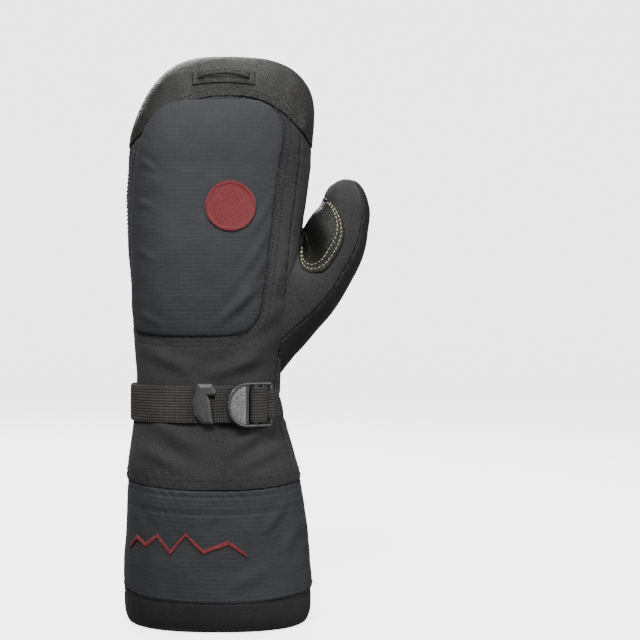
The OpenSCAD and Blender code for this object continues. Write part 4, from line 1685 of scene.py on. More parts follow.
    def cap(self) -> bpy.types.Object:
        """Makes the leather fingertip cap and returns it."""
        columns, rows = 300, 84
        angles = np.linspace(205, 565, columns + 1)
        seam = self.form.cap_seam(angles) + 0.1
        t = np.linspace(0, 1, rows)[:, None]
        level = seam[None, :] * (1 - t) + (self.form.dome_z + 89.4) * t
        patch = Patch(self.form.point(np.broadcast_to(angles, level.shape), level), closed=True)
        edge = patch.up
        fade = smoothstep(0, 14, np.linalg.norm(patch.points - patch.points[-1].mean(0), axis=-1))
        lift = (relief(patch, 30, 0.8, 81) + relief(patch, 10, 0.28, 93, 3)) * fade
        lift += hem_fold(edge, 0.7, 1.4) + puckers(patch.along, edge, 5.0, 0.3, 4.0, 95)
        for row in (2.0, 4.2):
            lift -= 0.35 * np.exp(-(((edge - row) / 0.7) ** 2))
        lift += Crease((50, 283), (47, 262), 2.5, 0.8).offset(patch.points[..., [0, 2]]) * fade
        patch.push(lift + 0.35)
        patch.wear_and_highlight = np.clip(relief(patch, 26, 1.0, 97), 0, 1) * 0.5 + 0.35 * np.exp(-edge / 1.2)
        made = cloth_object("fingertip_cap_leather", patch, FINISHES.get("palm_leather"), 1.0, lid=True)
        hand_in(made, ON_HAND, "palm_leather", "fingertip_cap")
        for inset in (2.0, 4.2):
            SEWING.sew(patch.beside(Edge.LOW, inset, 0.12), Thread.GREY, ON_HAND, Stitch(2.5, 1.8, 0.55))
        return made


# --------------------------------------------------------------------------- settling cloth


@dataclass(frozen=True)
class Settling:
    """How a held patch of cloth settles: slack, padding behind it and how far it may move."""

    slack: float = 0.03
    pressure: float = 1.5
    bending: float = 0.3
    lowest: float = -1.2
    highest: float = 2.6
    frames: int = 18
    edge: float = 5.0

    def settle(self, patch: Patch, held: Array, seed: int) -> Array:
        """Simulates the cloth and measures how far it moves.

        Args:
            patch: the cloth before it settles.
            held: which grid points are held by a seam.
            seed: pattern of the small unevenness that it starts with.
        Returns:
            Offset of each grid point along its normal, in millimetres.
        """
        rows, cols = patch.along.shape
        own = cols - 1 if patch.closed else cols
        trial = Patch(patch.points.copy(), closed=patch.closed, pole=patch.pole)
        trial.push(0.25 * smooth_noise(trial.points, 8.0, seed) * ~held)
        body = cloth_object("settling", trial, None)
        group = body.vertex_groups.new(name="held")
        index = np.arange(rows * own).reshape(rows, own)
        group.add([int(i) for i in index[held[:, :own]]], 1.0, "REPLACE")
        cloth = body.modifiers.new("cloth", "CLOTH").settings
        cloth.quality = 7
        cloth.mass = 0.12
        cloth.tension_stiffness = 20
        cloth.compression_stiffness = 20
        cloth.shear_stiffness = 5
        cloth.bending_stiffness = self.bending
        cloth.shrink_min = -self.slack
        cloth.use_pressure = True
        cloth.uniform_pressure_force = self.pressure
        cloth.vertex_group_mass = "held"
        cloth.effector_weights.gravity = 0.0
        for number in range(1, self.frames + 1):
            bpy.context.scene.frame_set(number)
        settled = plain_mesh(body, "settled")
        places = np.array([v.co for v in settled.data.vertices]) / MM
        bpy.data.objects.remove(settled)
        bpy.context.scene.frame_set(1)
        result = patch.points.copy()
        result[:, :own] = places.reshape(rows, own, 3)
        if patch.closed:
            result[:, -1] = result[:, 0]
        along = np.sum((result - patch.points) * patch.normals, axis=-1)
        LOG.info("cloth settled by %.1f to %.1f mm", along.min(), along.max())
        return np.clip(along, self.lowest, self.highest)


# --------------------------------------------------------------------------- padded panel


@dataclass
class BackPad:
    """The padded ripstop panel on the back of the hand, its foam and its embroidered badge."""

    form: MittenForm
    middle: tuple[float, float] = (-6.0, 222.0)
    rings: int = 44
    columns: int = 230
    rise: float = 3.2
    outline_knots: tuple[tuple[float, float], ...] = (
        (0, 287.3),
        (23, 286.6),
        (33.5, 280),
        (37.6, 268),
        (34, 244),
        (30.6, 213),
        (27, 184),
        (22.8, 166),
        (13, 158.2),
        (-10, 156.6),
        (-34, 157.8),
        (-43.6, 163),
        (-45.2, 190),
        (-45.8, 219),
        (-43.8, 252),
        (-37.5, 274),
        (-25, 285.6),
    )

    def outline(self, away: float = 0.0, count: int = 0) -> Array:
        """Gives the panel's outline seen from the back.

        Args:
            away: how far outside it the line runs.
            count: how many points, or the panel's own columns.
        Returns:
            X and Z of each point, counterclockwise as seen from the back.
        """
        loop = smooth_loop(self.outline_knots[::-1], (count or self.columns) + 1)
        ahead = np.gradient(loop, axis=0)
        ahead[0] = ahead[-1] = loop[1] - loop[-2]
        ahead /= np.linalg.norm(ahead, axis=1, keepdims=True)
        return loop + np.stack([ahead[:, 1], -ahead[:, 0]], axis=1) * away

    def on_back(self, x: Array, z: Array) -> Array:
        """Finds places on the bare form, seen from the back."""
        level = self.form.level_at(z)
        return self.form.point(self.form.angle_at(x, level), level)

    def build(self, surfaces: dict[str, Surface]) -> None:
        """Makes the pad.

        Args:
            surfaces: what it lies on.
        """
        loop = self.outline()
        share = np.linspace(0, 1, self.rings) ** 0.8
        share[0] = 0.004
        middle = np.array(self.middle)
        seen = middle + (loop[None] - middle) * share[:, None, None]
        base = Patch(self.on_back(seen[..., 0], seen[..., 1]), closed=True, pole=True)
        edge = base.distance((Edge.HIGH,))
        self.foam(base)
        patch = Patch(base.points.copy(), closed=True, pole=True)
        dome = self.rise * (1 - np.exp(-edge / 9.0)) + 1.1
        patch.push(dome)
        move = Settling().settle(patch, edge < 0.5, 113)
        patch.push(move * smoothstep(0.3, 3.0, edge))
        folds = (
            Crease((30, 203), (8, 168), 2.6, 1.1),
            Crease((28, 188), (0, 163), 2.4, 1.2),
            Crease((31, 219), (14, 188), 2.6, 0.9),
            Crease((33, 236), (20, 212), 2.4, 0.7),
            Crease((-44, 172), (-28, 163), 2.0, 0.7),
            Crease((-43, 255), (-31, 247), 1.8, 0.6),
            Crease((-44, 232), (-33, 227), 1.8, 0.6),
            Crease((-44, 205), (-32, 199), 1.8, 0.6),
        )
        lift = relief(patch, 36, 0.9, 101) + relief(patch, 12, 0.25, 103, 2)
        for fold in folds:
            lift += fold.offset(patch.points[..., [0, 2]])
        lift += puckers(base.along[-1:] * np.ones_like(edge), edge, 5.5, 0.6, 5.0, 107)
        fade = smoothstep(0, 10, edge)
        patch.push(lift * (0.45 + 0.55 * fade) - 1.1 * (1 - smoothstep(0, 1.6, edge)))
        patch.wear_and_highlight = 0.35 * np.exp(-edge / 1.2)
        flat = patch.points[..., [0, 2]].copy()
        finish = FINISHES.get("ripstop")
        cover = cloth_object("back_pad_ripstop", patch, finish, 0.5, cloth=flat)
        hand_in(cover, ON_HAND, "ripstop", "back_pad_cover")
        for away in (1.5, 4.3):
            path = self.outline(away, 420)
            SEWING.sew(
                surfaces["back"].lay(path[:, 0], path[:, 1], 0.2, self.on_back(path[:, 0], path[:, 1])),
                Thread.DARK, ON_HAND, Stitch(2.3, 1.6, 0.7)
            )
        self.badge(Surface(cover))

    def foam(self, base: Patch) -> None:
        """Makes the foam inside."""
        patch = Patch(base.points[:-1:2, ::2].copy(), closed=True, pole=True)
        edge = patch.distance((Edge.HIGH,))
        patch.push(0.4 + 1.7 * (1 - np.exp(-edge / 6.0)))
        made = cloth_object("back_pad_foam_sheet", patch, FINISHES.get("foam"), 1.2)
        hand_in(made, ON_HAND, "foam", "back_pad_foam")

    def badge(self, cover: Surface) -> None:
        """Makes the round embroidered badge."""
        middle, radius = np.array([8.3, 227.5]), 13.6
        share = np.concatenate([[0.004], np.linspace(0.06, 0.86, 20), [0.88, 0.92, 0.96, 0.99, 1.0]])
        turn = np.linspace(0, 2 * math.pi, 97)
        seen = middle + radius * share[:, None, None] * np.stack([np.cos(turn), np.sin(turn)], axis=1)[None]
        places = cover.lay(seen[..., 0], seen[..., 1], 0.1)
        places[:, -1] = places[:, 0]
        patch = Patch(places, closed=True, pole=True)
        height = np.where(share > 0.87, 0.95, 0.6) * np.where(share >= 1.0, 0.2, 1.0)
        patch.push(np.broadcast_to(height[:, None], patch.along.shape))
        flat = seen.copy()
        made = cloth_object("round_badge_embroidery", patch, FINISHES.get("embroidery"), 0.7, cloth=flat)
        hand_in(made, ON_HAND, "embroidery", "round_badge")


# --------------------------------------------------------------------------- thumb


@dataclass
class Thumb:
    """The thumb: a root that grows out of the hand, three panels and a leather leaf in the crotch."""

    form: MittenForm
    shell: HandShell
    rows: tuple[tuple[float, float, float, float, float], ...] = (
        (49.0, 218.0, 62.0, 166.3, 20.0),
        (52.0, 221.5, 75.5, 186.0, 19.0),
        (55.8, 226.0, 83.0, 202.0, 17.0),
        (60.5, 232.0, 86.0, 218.0, 15.0),
    )
    power: float = 2.2
    tip_rise: float = 20.0
    tip_drift: tuple[float, float] = (2.0, 18.0)
    turns: tuple[float, ...] = (20.0, 40.0, 58.0, 74.0, 89.4)
    hollow: tuple[float, float, float] = (2.0, 14.0, -7.0)
    hollow_at: tuple[float, float] = (138.0, 1.15)
    hollow_size: tuple[float, float] = (38.0, 0.9)

    def rings(self, phi: Array) -> tuple[Array, Array]:
        """Lists the rings that the thumb passes through.

        Args:
            phi: degrees round the thumb, one dimension.
        Returns:
            Row number of each ring, and its places.
        """
        a = np.radians(phi)
        c, s = np.cos(a), np.sin(a)
        wide = np.sign(c) * np.abs(c) ** (2 / self.power)
        deep = np.sign(s) * np.abs(s) ** (2 / self.power)
        shell = self.shell
        root = self.form.point(shell.root_angle * s, shell.root_z - shell.root_half * c, -0.6)
        made, numbers = [root], [0.0]
        for number, (ax, az, bx, bz, depth) in enumerate(self.rows):
            middle, half = np.array(
                [(ax + bx) / 2, (az + bz) / 2]
            ), np.array([(bx - ax) / 2, (bz - az) / 2])
            made.append(np.stack(
                [middle[0] + half[0] * wide, -depth * deep, middle[1] + half[1] * wide], axis=-1
            ))
            numbers.append(number + 1.0)
        ax, az, bx, bz, depth = self.rows[-1]
        half = math.hypot(bx - ax, bz - az) / 2
        for turn in self.turns:
            lift = math.sin(math.radians(turn))
            shrink = math.sqrt(1 - lift * lift)
            lean = math.atan2(bz - az, bx - ax) + math.radians(self.tip_drift[1] * lift)
            w = wide * half * shrink
            x = (ax + bx) / 2 + self.tip_drift[0] * lift + w * math.cos(lean)
            z = (az + bz) / 2 + self.tip_rise * lift + w * math.sin(lean)
            made.append(np.stack([x, -depth * deep * shrink, z], axis=-1))
            numbers.append(4.0 + turn / self.turns[-1])
        return np.array(numbers), np.array(made)

    def point(self, phi: Array, row: Array) -> Array:
        """Finds places on the thumb.

        Args:
            phi: degrees round it, 0 at its outer side and 90 at its back.
            row: 0 at the hand, 4 where the tip starts and 5 at the end.
        Returns:
            Places on the last axis.
        """
        phi, row = np.broadcast_arrays(np.asarray(phi, float), np.asarray(row, float))
        numbers, rings = self.rings(phi.ravel())
        flat = row.ravel()
        i = np.clip(np.searchsorted(numbers, flat, side="right") - 1, 0, len(numbers) - 2)
        before, after = np.maximum(i - 1, 0), np.minimum(i + 2, len(numbers) - 1)
        k = np.arange(len(flat))
        a, b = rings[i, k], rings[i + 1, k]
        step = (numbers[i + 1] - numbers[i])[:, None]
        ta = (b - rings[before, k]) / (numbers[i + 1] - numbers[before])[:, None]
        tb = (rings[after, k] - a) / (numbers[after] - numbers[i])[:, None]
        t = ((flat - numbers[i])[:, None]) / step
        place = (
            a * (2 * t**3 - 3 * t**2 + 1)
            + ta * step * (t**3 - 2 * t**2 + t)
            + b * (3 * t**2 - 2 * t**3)
            + tb * step * (t**3 - t**2)
        )
        turn = (phi.ravel() - self.hollow_at[0] + 180) % 360 - 180
        dip = np.exp(-((turn / self.hollow_size[0]) ** 2) - (
            (flat - self.hollow_at[1]) / self.hollow_size[1]
        ) ** 2)
        place = place + np.array(self.hollow) * dip[:, None]
        return place.reshape(phi.shape + (3,))

    def panel(self, start: float, end: float) -> Patch:
        """Makes the patch between two angles, from the hand to the tip."""
        columns = max(24, int((end - start) * 0.62))
        phi = np.linspace(start, end, columns)
        row = np.concatenate([np.linspace(0, 4, 96), np.linspace(4, 5, 30)[1:]])
        return Patch(self.point(phi[None, :], row[:, None]))

    def build(self) -> None:
        """Makes every piece of the thumb."""
        soft, leather, side = (FINISHES.get(n) for n in ("softshell", "palm_leather", "side_leather"))
        plans = (
            (
                "thumb_side_leather", -40.0, 56.0, side, "side_leather",
                ("thumb_side_strip", "thumb_gusset"), 121
            ),
            ("thumb_back_softshell", 56.0, 172.0, soft, "softshell", ("thumb_back_panel",), 127),
            ("thumb_palm_leather", 172.0, 320.0, leather, "palm_leather", ("thumb_palm_panel",), 131),
        )
        for name, start, end, finish, slot, nodes, seed in plans:
            patch = self.panel(start, end)
            narrow = smoothstep(2.0, 9.0, patch.along[:, -1:])
            edge = patch.distance((Edge.FIRST, Edge.LAST))
            lift = (
                relief(patch, 24, 0.8, seed) + relief(patch, 8, 0.2, seed + 3, 2)
            ) * smoothstep(0, 8, patch.up)
            lift += hem_fold(edge, 0.8, 1.8) + puckers(patch.up, edge, 6.0, 0.3, 3.0, seed + 1)
            patch.push(lift * narrow)
            patch.wear_and_highlight = 0.3 * np.exp(-edge / 1.2)
            made = cloth_object(name, patch, finish, 0.9)
            hand_in(made, ALONG_THUMB, slot, *nodes)
            if name == "thumb_side_leather":
                for edge_name in (Edge.FIRST, Edge.LAST):
                    line = patch.beside(edge_name, 1.6, 0.0, (0.03, 0.95))
                    SEWING.sew(line, Thread.DARK, ALONG_THUMB, Stitch(2.6, 1.9, 0.45))
        self.leaf()
        self.inside()

    def leaf(self) -> None:
        """Makes the leather leaf with its double contrast rows."""
        v = np.linspace(0, 1, 110)[:, None]
        u = np.linspace(-1, 1, 70)[None, :]
        share = np.clip(1 - np.abs(2 * v - 1) ** 2.6, 0.002, 1) ** (1 / 2.6)
        spread = np.where(u < 0, 86 * share, 62 * share)
        phi, row = 168 + u * spread, 0.22 + 3.9 * v + 0 * u
        patch = Patch(self.point(phi, row))
        edge = np.minimum(patch.distance((Edge.FIRST, Edge.LAST)), 1e3)
        lift = 1.0 + relief(patch, 20, 0.4, 141)
        lift += hem_fold(edge, 0.9, 1.4)
        patch.push(lift)
        patch.wear_and_highlight = 0.3 * np.exp(-edge / 1.2)
        made = cloth_object("thumb_leaf_leather", patch, FINISHES.get("palm_leather"), 0.9)
        hand_in(made, ALONG_THUMB, "palm_leather", "thumb_patch")
        for inset in (1.7, 3.7):
            one = patch.beside(Edge.FIRST, inset, 0.12, (0.03, 0.97))
            two = patch.beside(Edge.LAST, inset, 0.12, (0.03, 0.97))
            for line in (one, two):
                SEWING.sew(line, Thread.CONTRAST, ALONG_THUMB, Stitch(2.3, 1.9, 0.62))

    def inside(self) -> None:
        """Makes the thumb's hidden layers."""
        layers = (
            ("thumb_membrane", 2.0, 0.4, "membrane", "membrane", ("thumb_insert",)),
            ("thumb_wadding", 3.2, 3.0, "wadding", "wadding", ("thumb_insulation",)),
            ("thumb_fleece", 6.8, 0.9, "fleece", "fleece", ("thumb_lining", "thumb_gusset_lining")),
        )
        phi = np.linspace(170, 530, 61)
        row = np.concatenate([np.linspace(0.35, 4, 36), np.linspace(4, 5, 14)[1:]])
        for name, inset, thick, finish, slot, nodes in layers:
            patch = Patch(self.point(phi[None, :], row[:, None]), closed=True)
            centre = patch.points.mean(axis=1, keepdims=True)
            radius = np.linalg.norm(patch.points - centre, axis=-1, keepdims=True)
            patch.points = centre + (patch.points - centre) * np.clip(
                1 - inset / np.maximum(radius, 0.1), 0.02, 1
            )
            patch.points[-14:, :, :] -= np.array([0.3, 0, 1.0]) * inset * np.linspace(0, 1, 14)[:, None, None]
            patch.refresh()
            made = cloth_object(name, patch, FINISHES.get(finish), min(thick, 1.2), lid=True)
            hand_in(made, ALONG_THUMB, slot, *nodes)


# --------------------------------------------------------------------------- hidden layers


@dataclass
class HandLayers:
    """The waterproof insert, wadding, fleece and elastic inside the hand."""

    form: MittenForm
    shell: HandShell
    columns: int = 120

    def build(self) -> None:
        """Makes every layer."""
        layers = (
            ("hand_membrane", 2.1, 0.5, "membrane", ("waterproof_insert",)),
            ("hand_wadding", 3.0, 3.2, "wadding", ("insulation",)),
            ("hand_fleece", 6.8, 0.9, "fleece", ("hand_lining",)),
        )
        angles = np.linspace(205, 565, self.columns + 1)
        straight = np.linspace(108, self.form.dome_z, 56)
        turns = self.form.dome_z + np.linspace(4, 89.0, 26)
        level = np.concatenate([straight, turns])[:, None]
        for name, inset, thick, slot, nodes in layers:
            points = self.form.point(angles[None, :], level, -inset)
            patch = Patch(points, closed=True)
            patch.push(relief(patch, 18, 0.25, 151))
            made = cloth_object(
                name, patch, FINISHES.get(slot), thick, lid=True,
                keep=self.shell.outside_thumb(patch, 0.82)
            )
            hand_in(made, ON_HAND, slot, *nodes)
        self.wrist_fleece(angles)
        self.elastic()

    def wrist_fleece(self, angles: Array) -> None:
        """Makes the fleece of the wrist."""
        levels = np.linspace(80.0, 108.6, 26)[:, None]
        inset = 3.0 + 4.2 * smoothstep(96, 109, levels)
        patch = Patch(self.form.point(angles[None, :], levels, -inset), closed=True)
        patch.push(relief(patch, 16, 0.3, 157))
        made = cloth_object("wrist_fleece", patch, FINISHES.get("fleece"), 0.9)
        hand_in(made, OVER_WRIST, "fleece", "wrist_lining")

    def elastic(self) -> None:
        """Makes the elastic band behind the gathers."""
        levels = np.linspace(114, 126, 14)[:, None]
        patch = Patch(self.form.point(np.linspace(212, 328, 90)[None, :], levels, -8.6))
        patch.push(puckers(patch.along, patch.up * 0, 4.0, 0.12, 1.0, 163))
        made = cloth_object("elastic_band", patch, FINISHES.get("elastic"), 0.8)
        hand_in(made, ON_HAND, "elastic", "wrist_elastic")


# --------------------------------------------------------------------------- trim


@dataclass
class Trim:
    """The hanging loop on the fingertips and the reinforcing patch on the palm."""

    form: MittenForm

    def build(self, surfaces: dict[str, Surface]) -> None:
        """Makes both pieces.

        Args:
            surfaces: what they lie on.
        """
        self.loop(surfaces["cap"])
        self.index_patch()

    def loop(self, cap: Surface) -> None:
        """Makes the leather strip that arches off the cap between its sewn ends."""
        left, right, low, high = -12.5, 22.0, 294.8, 303.2
        x, z = np.meshgrid(np.linspace(right, left, 110), np.linspace(low, high, 26))
        base = Patch(cap.lay(x, z + 0.0012 * (x - left) * (right - x) * 4, 0.1))
        base.push(0.7 + hem_fold(base.distance(tuple(Edge)), 0.5, 0.8) + relief(base, 7, 0.1, 169, 2))
        base.wear_and_highlight = 0.1
        hand_in(
            cloth_object("hanging_loop_base", base, FINISHES.get("palm_leather"), 0.6), ON_HAND,
            "palm_leather"
        )
        for inset in (0.9, 2.0):
            for edge_name in Edge:
                length = 8.4 if edge_name in (Edge.FIRST, Edge.LAST) else 34.5
                line = base.beside(edge_name, inset, 0.1, (inset / length, 1 - inset / length))
                SEWING.sew(line, Thread.GREY, ON_HAND, Stitch(1.9, 1.4, 0.4))
        inner = 3.0
        x, z = np.meshgrid(
            np.linspace(right - inner, left + inner, 110), np.linspace(low + 2.9, high - 2.2, 11)
        )
        patch = Patch(cap.lay(x, z + 0.0012 * (x - left) * (right - x) * 4, 0.2))
        t = np.clip((x - left - inner) / (right - left - 2 * inner), 0, 1)
        edge = patch.distance(tuple(Edge))
        patch.push(1.4 + 2.7 * np.sin(np.pi * t) ** 0.6 + hem_fold(edge, 0.5, 0.8) + relief(
            patch, 9, 0.12, 171, 2
        ))
        patch.wear_and_highlight = 0.35 * np.exp(-edge / 0.8) + 0.1
        made = cloth_object("hanging_loop_leather", patch, FINISHES.get("palm_leather"), 0.9)
        hand_in(made, ON_HAND, "palm_leather", "hanging_loop")
        for share in (0.22, 0.78):
            line = patch.at(np.linspace(0.03, 0.97, 60), share, 0.1)
            SEWING.sew(line, Thread.GREY, ON_HAND, Stitch(2.0, 1.5, 0.4))

    def index_patch(self) -> None:
        """Makes the rectangular leather patch beside the index finger."""
        angles = np.linspace(298, 338, 54)[None, :]
        levels = np.linspace(222.5, 252.0, 60)[:, None]
        patch = Patch(self.form.point(angles, levels))
        edge = patch.distance(tuple(Edge))
        lift = relief(patch, 40, 1.3, 81) + relief(patch, 13, 0.4, 83, 3) + 0.95 + hem_fold(edge, 0.9, 1.3)
        patch.push(lift)
        patch.wear_and_highlight = 0.4 * np.exp(-edge / 1.2) + 0.15
        made = cloth_object("index_patch_leather", patch, FINISHES.get("palm_leather"), 1.0)
        hand_in(made, ON_HAND, "palm_leather", "index_patch")
        for inset in (1.5, 3.3):
            for edge_name, length in (
                (Edge.FIRST, 29.5), (Edge.LAST, 29.5), (Edge.LOW, 22.0), (Edge.HIGH, 22.0)
            ):
                trim = inset / length
                line = patch.beside(edge_name, inset, 0.1, (trim, 1 - trim))
                SEWING.sew(line, Thread.CONTRAST, ON_HAND, Stitch(2.2, 1.8, 0.55))


# --------------------------------------------------------------------------- wrist strap


@dataclass
class WristStrap:
    """The webbing round the back of the wrist, the ladder-lock buckle and the moulded pull."""

    form: MittenForm
    width: float = 20.0
    thick: float = 1.4
    out: float = 0.35
    pivot: tuple[float, float] = (30.0, -27.4)
    slope: float = 24.0
    tail_y: float = -32.15

    @property
    def middle(self) -> float:
        """Gives the height of the strap's middle."""
        return self.form.strap_z

    def on_buckle(self, points: Array) -> Array:
        """Moves places drawn in the buckle's plan, X towards its tip, to the buckle."""
        turn = Matrix.Rotation(
            math.radians(180 + self.slope), 3, "Z"
        ) @ Matrix.Rotation(math.radians(90), 3, "X")
        return points @ np.array(turn).T + np.array([self.pivot[0], self.pivot[1], self.middle])

    def woven(self, patch: Patch, rib: float, pick: float, depth: float) -> None:
        """Raises the webbing's cords and rounds its edges."""
        edge = patch.distance((Edge.LOW, Edge.HIGH))
        cords = 0.5 + 0.5 * np.sin(2 * np.pi * patch.along / rib)
        picks = 0.5 + 0.5 * np.sin(2 * np.pi * patch.up / pick)
        patch.push(depth * cords**0.7 * picks**0.8 + hem_fold(edge, self.thick * 0.45, 1.1))

    def build(self) -> None:
        """Makes every piece."""
        self.webbing()
        self.anchor()
        self.buckle()
        self.fold()
        self.tail()
        self.pull()

    def webbing(self) -> None:
        """Makes the main strap, sewn down at the little-finger side."""
        low = self.middle - self.width / 2
        angles = np.linspace(64, 203, 420)
        bare = self.form.point(angles, np.full_like(angles, low), self.out + self.thick)
        rows = np.linspace(0, self.width, 46)
        points = np.repeat(bare[None], len(rows), axis=0)
        points[..., 2] = low + rows[:, None]
        patch = Patch(points)
        patch.push(relief(patch, 30, 0.3, 181) * smoothstep(0, 20, patch.along))
        self.woven(patch, 1.3, 1.5, 0.28)
        made = cloth_object(
            "strap_webbing_tape", patch, FINISHES.get("webbing"), self.thick, cloth=patch.cloth()
        )
        hand_in(made, ON_HAND, "webbing", "strap_webbing")

    def anchor(self) -> None:
        """Makes the short loop that holds the buckle's end bar."""
        half = 7.5
        turn = np.radians(np.linspace(-200, 62, 46))
        radius = 2.7
        ring = np.stack(
            [self.pivot[0] + radius * np.cos(turn), self.pivot[1] + radius * np.sin(turn)], axis=1
        )
        rows = np.linspace(-half, half, 30)
        points = np.zeros((len(rows), 150, 3))
        for number, row in enumerate(rows):
            level = np.full(50, self.middle + row)
            flat = self.form.point(np.linspace(31, 22.5, 50), level, 1.15)[:, :2]
            points[number, :, :2] = even_line(np.vstack([ring, flat]), 150)
            points[number, :, 2] = level[0]
        patch = Patch(points[:, ::-1])
        if np.mean(patch.normals[:, :20, 0]) < 0:
            patch = Patch(points)
        self.woven(patch, 1.3, 1.5, 0.2)
        made = cloth_object("buckle_anchor_tape", patch, FINISHES.get("webbing"), 1.0, cloth=patch.cloth())
        hand_in(made, ON_HAND, "webbing", "buckle_anchor")

    def buckle(self) -> None:
        """Makes the ladder lock: a domed plate in a rounded rim, three bars and two rails."""
        half, length, straight = 11.2, 26.0, 14.0
        arc = np.radians(np.linspace(90, -90, 48))
        tip = length - straight - 1.0
        curve = np.stack([straight + tip * np.cos(arc), half * np.sin(arc), np.zeros(48)], axis=1)
        near = np.linspace(0, straight, 16, endpoint=False)
        rails = [np.stack([near, np.full(16, half * s), np.zeros(16)], axis=1) for s in (1, -1)]
        rim = np.vstack([rails[0], curve, rails[1][::-1]])
        rim_side = np.tile(np.array([0.0, 0.0, 1.0]), (len(rim), 1))
        parts = [swept(rim, rim_side, 1.45, 1.0, 3.0)]
        for x, radius, tall in ((0.0, 1.15, 1.15), (4.6, 0.95, 1.1), (9.1, 1.4, 1.1), (14.0, 1.0, 1.2)):
            bar = np.stack([np.full(16, x), np.linspace(-half, half, 16), np.zeros(16)], axis=1)
            parts.append(swept(bar, np.tile(np.array([1.0, 0.0, 0.0]), (16, 1)), radius, tall, 2.6))
        plate = self.plate(straight, tip, half)
        points, faces = joined(parts)
        made = mesh_object(
            "ladder_lock_frame", self.on_buckle(points), faces, FINISHES.get("frame_plastic")
        )
        hand_in(made, ON_BUCKLE, "buckle_plastic", "ladder_lock")
        points, faces = plate
        made = mesh_object(
            "ladder_lock_plate", self.on_buckle(points), faces, FINISHES.get("buckle_plastic")
        )
        hand_in(made, ON_BUCKLE, "buckle_plastic")

    def plate(self, start: float, tip: float, half: float) -> tuple[Array, list]:
        """Makes the half-round plate as a closed, slightly domed lens."""
        rings, columns = 12, 64
        a = np.linspace(0, 2 * math.pi, columns, endpoint=False)
        x = np.where(np.cos(a) > 0, start + tip * np.cos(a), start + 0.4 * np.cos(a))
        edge = np.stack([x, half * np.sin(a)], axis=1)
        edge[:, 0] = np.maximum(edge[:, 0], start - 0.2)
        centre = np.array([start + tip * 0.4, 0.0])
        points, faces = [], []
        for sign in (1, -1):
            for ring in range(rings):
                t = 1 - ring / rings
                flat = centre + (edge - centre) * t
                height = sign * (0.55 + 0.55 * (1 - t**2.5)) * (1.0 if ring else 0.55)
                points.append(np.column_stack([flat, np.full(columns, height)]))
        tops = np.array([[*centre, 1.12], [*centre, -1.12]])
        count = rings * columns
        for side, flip in ((0, False), (count, True)):
            for ring in range(rings - 1):
                for k in range(columns):
                    n = (k + 1) % columns
                    quad = (
                        side + ring * columns + k, side + ring * columns + n,
                        side + (ring + 1) * columns + n, side + (ring + 1) * columns + k
                    )
                    faces.append(tuple(reversed(quad)) if flip else quad)
            pole = 2 * count + (1 if flip else 0)
            last = side + (rings - 1) * columns
            for k in range(columns):
                tri = (last + k, last + (k + 1) % columns, pole)
                faces.append(tuple(reversed(tri)) if flip else tri)
        for k in range(columns):
            n = (k + 1) % columns
            faces.append((n, k, count + k, count + n))
        return np.vstack([*points, tops]), faces

    def fold(self) -> None:
        """Makes the webbing's turn over the middle bar of the buckle."""
        t = 1.2
        low, high = np.array([2.2, -1.7]), np.array([11.2, 2.2])
        knots = [
            (low[0], low[1]), (low[0], 0.2), (low[0] + 0.9, 1.7), (6.5, high[1]),
            (high[0] - 1.0, high[1]), (high[0], 0.8), (high[0], low[1])
        ]
        path = even_line(np.array(knots, float), 44)
        rows = np.linspace(-self.width / 2 + 0.4, self.width / 2 - 0.4, 44)
        local = np.zeros((len(rows), len(path), 3))
        local[..., 0] = path[None, :, 0]
        local[..., 1] = rows[:, None]
        local[..., 2] = -path[None, :, 1]
        patch = Patch(self.on_buckle(local.reshape(-1, 3)).reshape(local.shape))
        if np.mean(patch.normals[:, 18:26, 1]) > 0:
            patch = Patch(patch.points[:, ::-1])
        self.woven(patch, 1.3, 1.5, 0.25)
        made = cloth_object(
            "strap_fold_tape", patch, FINISHES.get("webbing"), t * 0.85, cloth=patch.cloth()
        )
        hand_in(made, ON_BUCKLE, "webbing", "strap_over_bar")

    def tail(self) -> None:
        """Makes the strap's free end between the buckle and its pull."""
        x = np.linspace(12.5, 0.2, 60)
        z = np.linspace(self.middle - self.width / 2 + 0.5, self.middle + self.width / 2 - 0.5, 46)
        points = np.zeros((len(z), len(x), 3))
        points[..., 0] = x[None]
        points[..., 1] = self.tail_y - 1.65
        points[..., 2] = z[:, None]
        patch = Patch(points)
        self.woven(patch, 1.3, 1.5, 0.25)
        made = cloth_object("strap_tail_tape", patch, FINISHES.get("webbing"), 1.1, cloth=patch.cloth())
        hand_in(made, ON_STRAP_END, "webbing", "strap_tail")

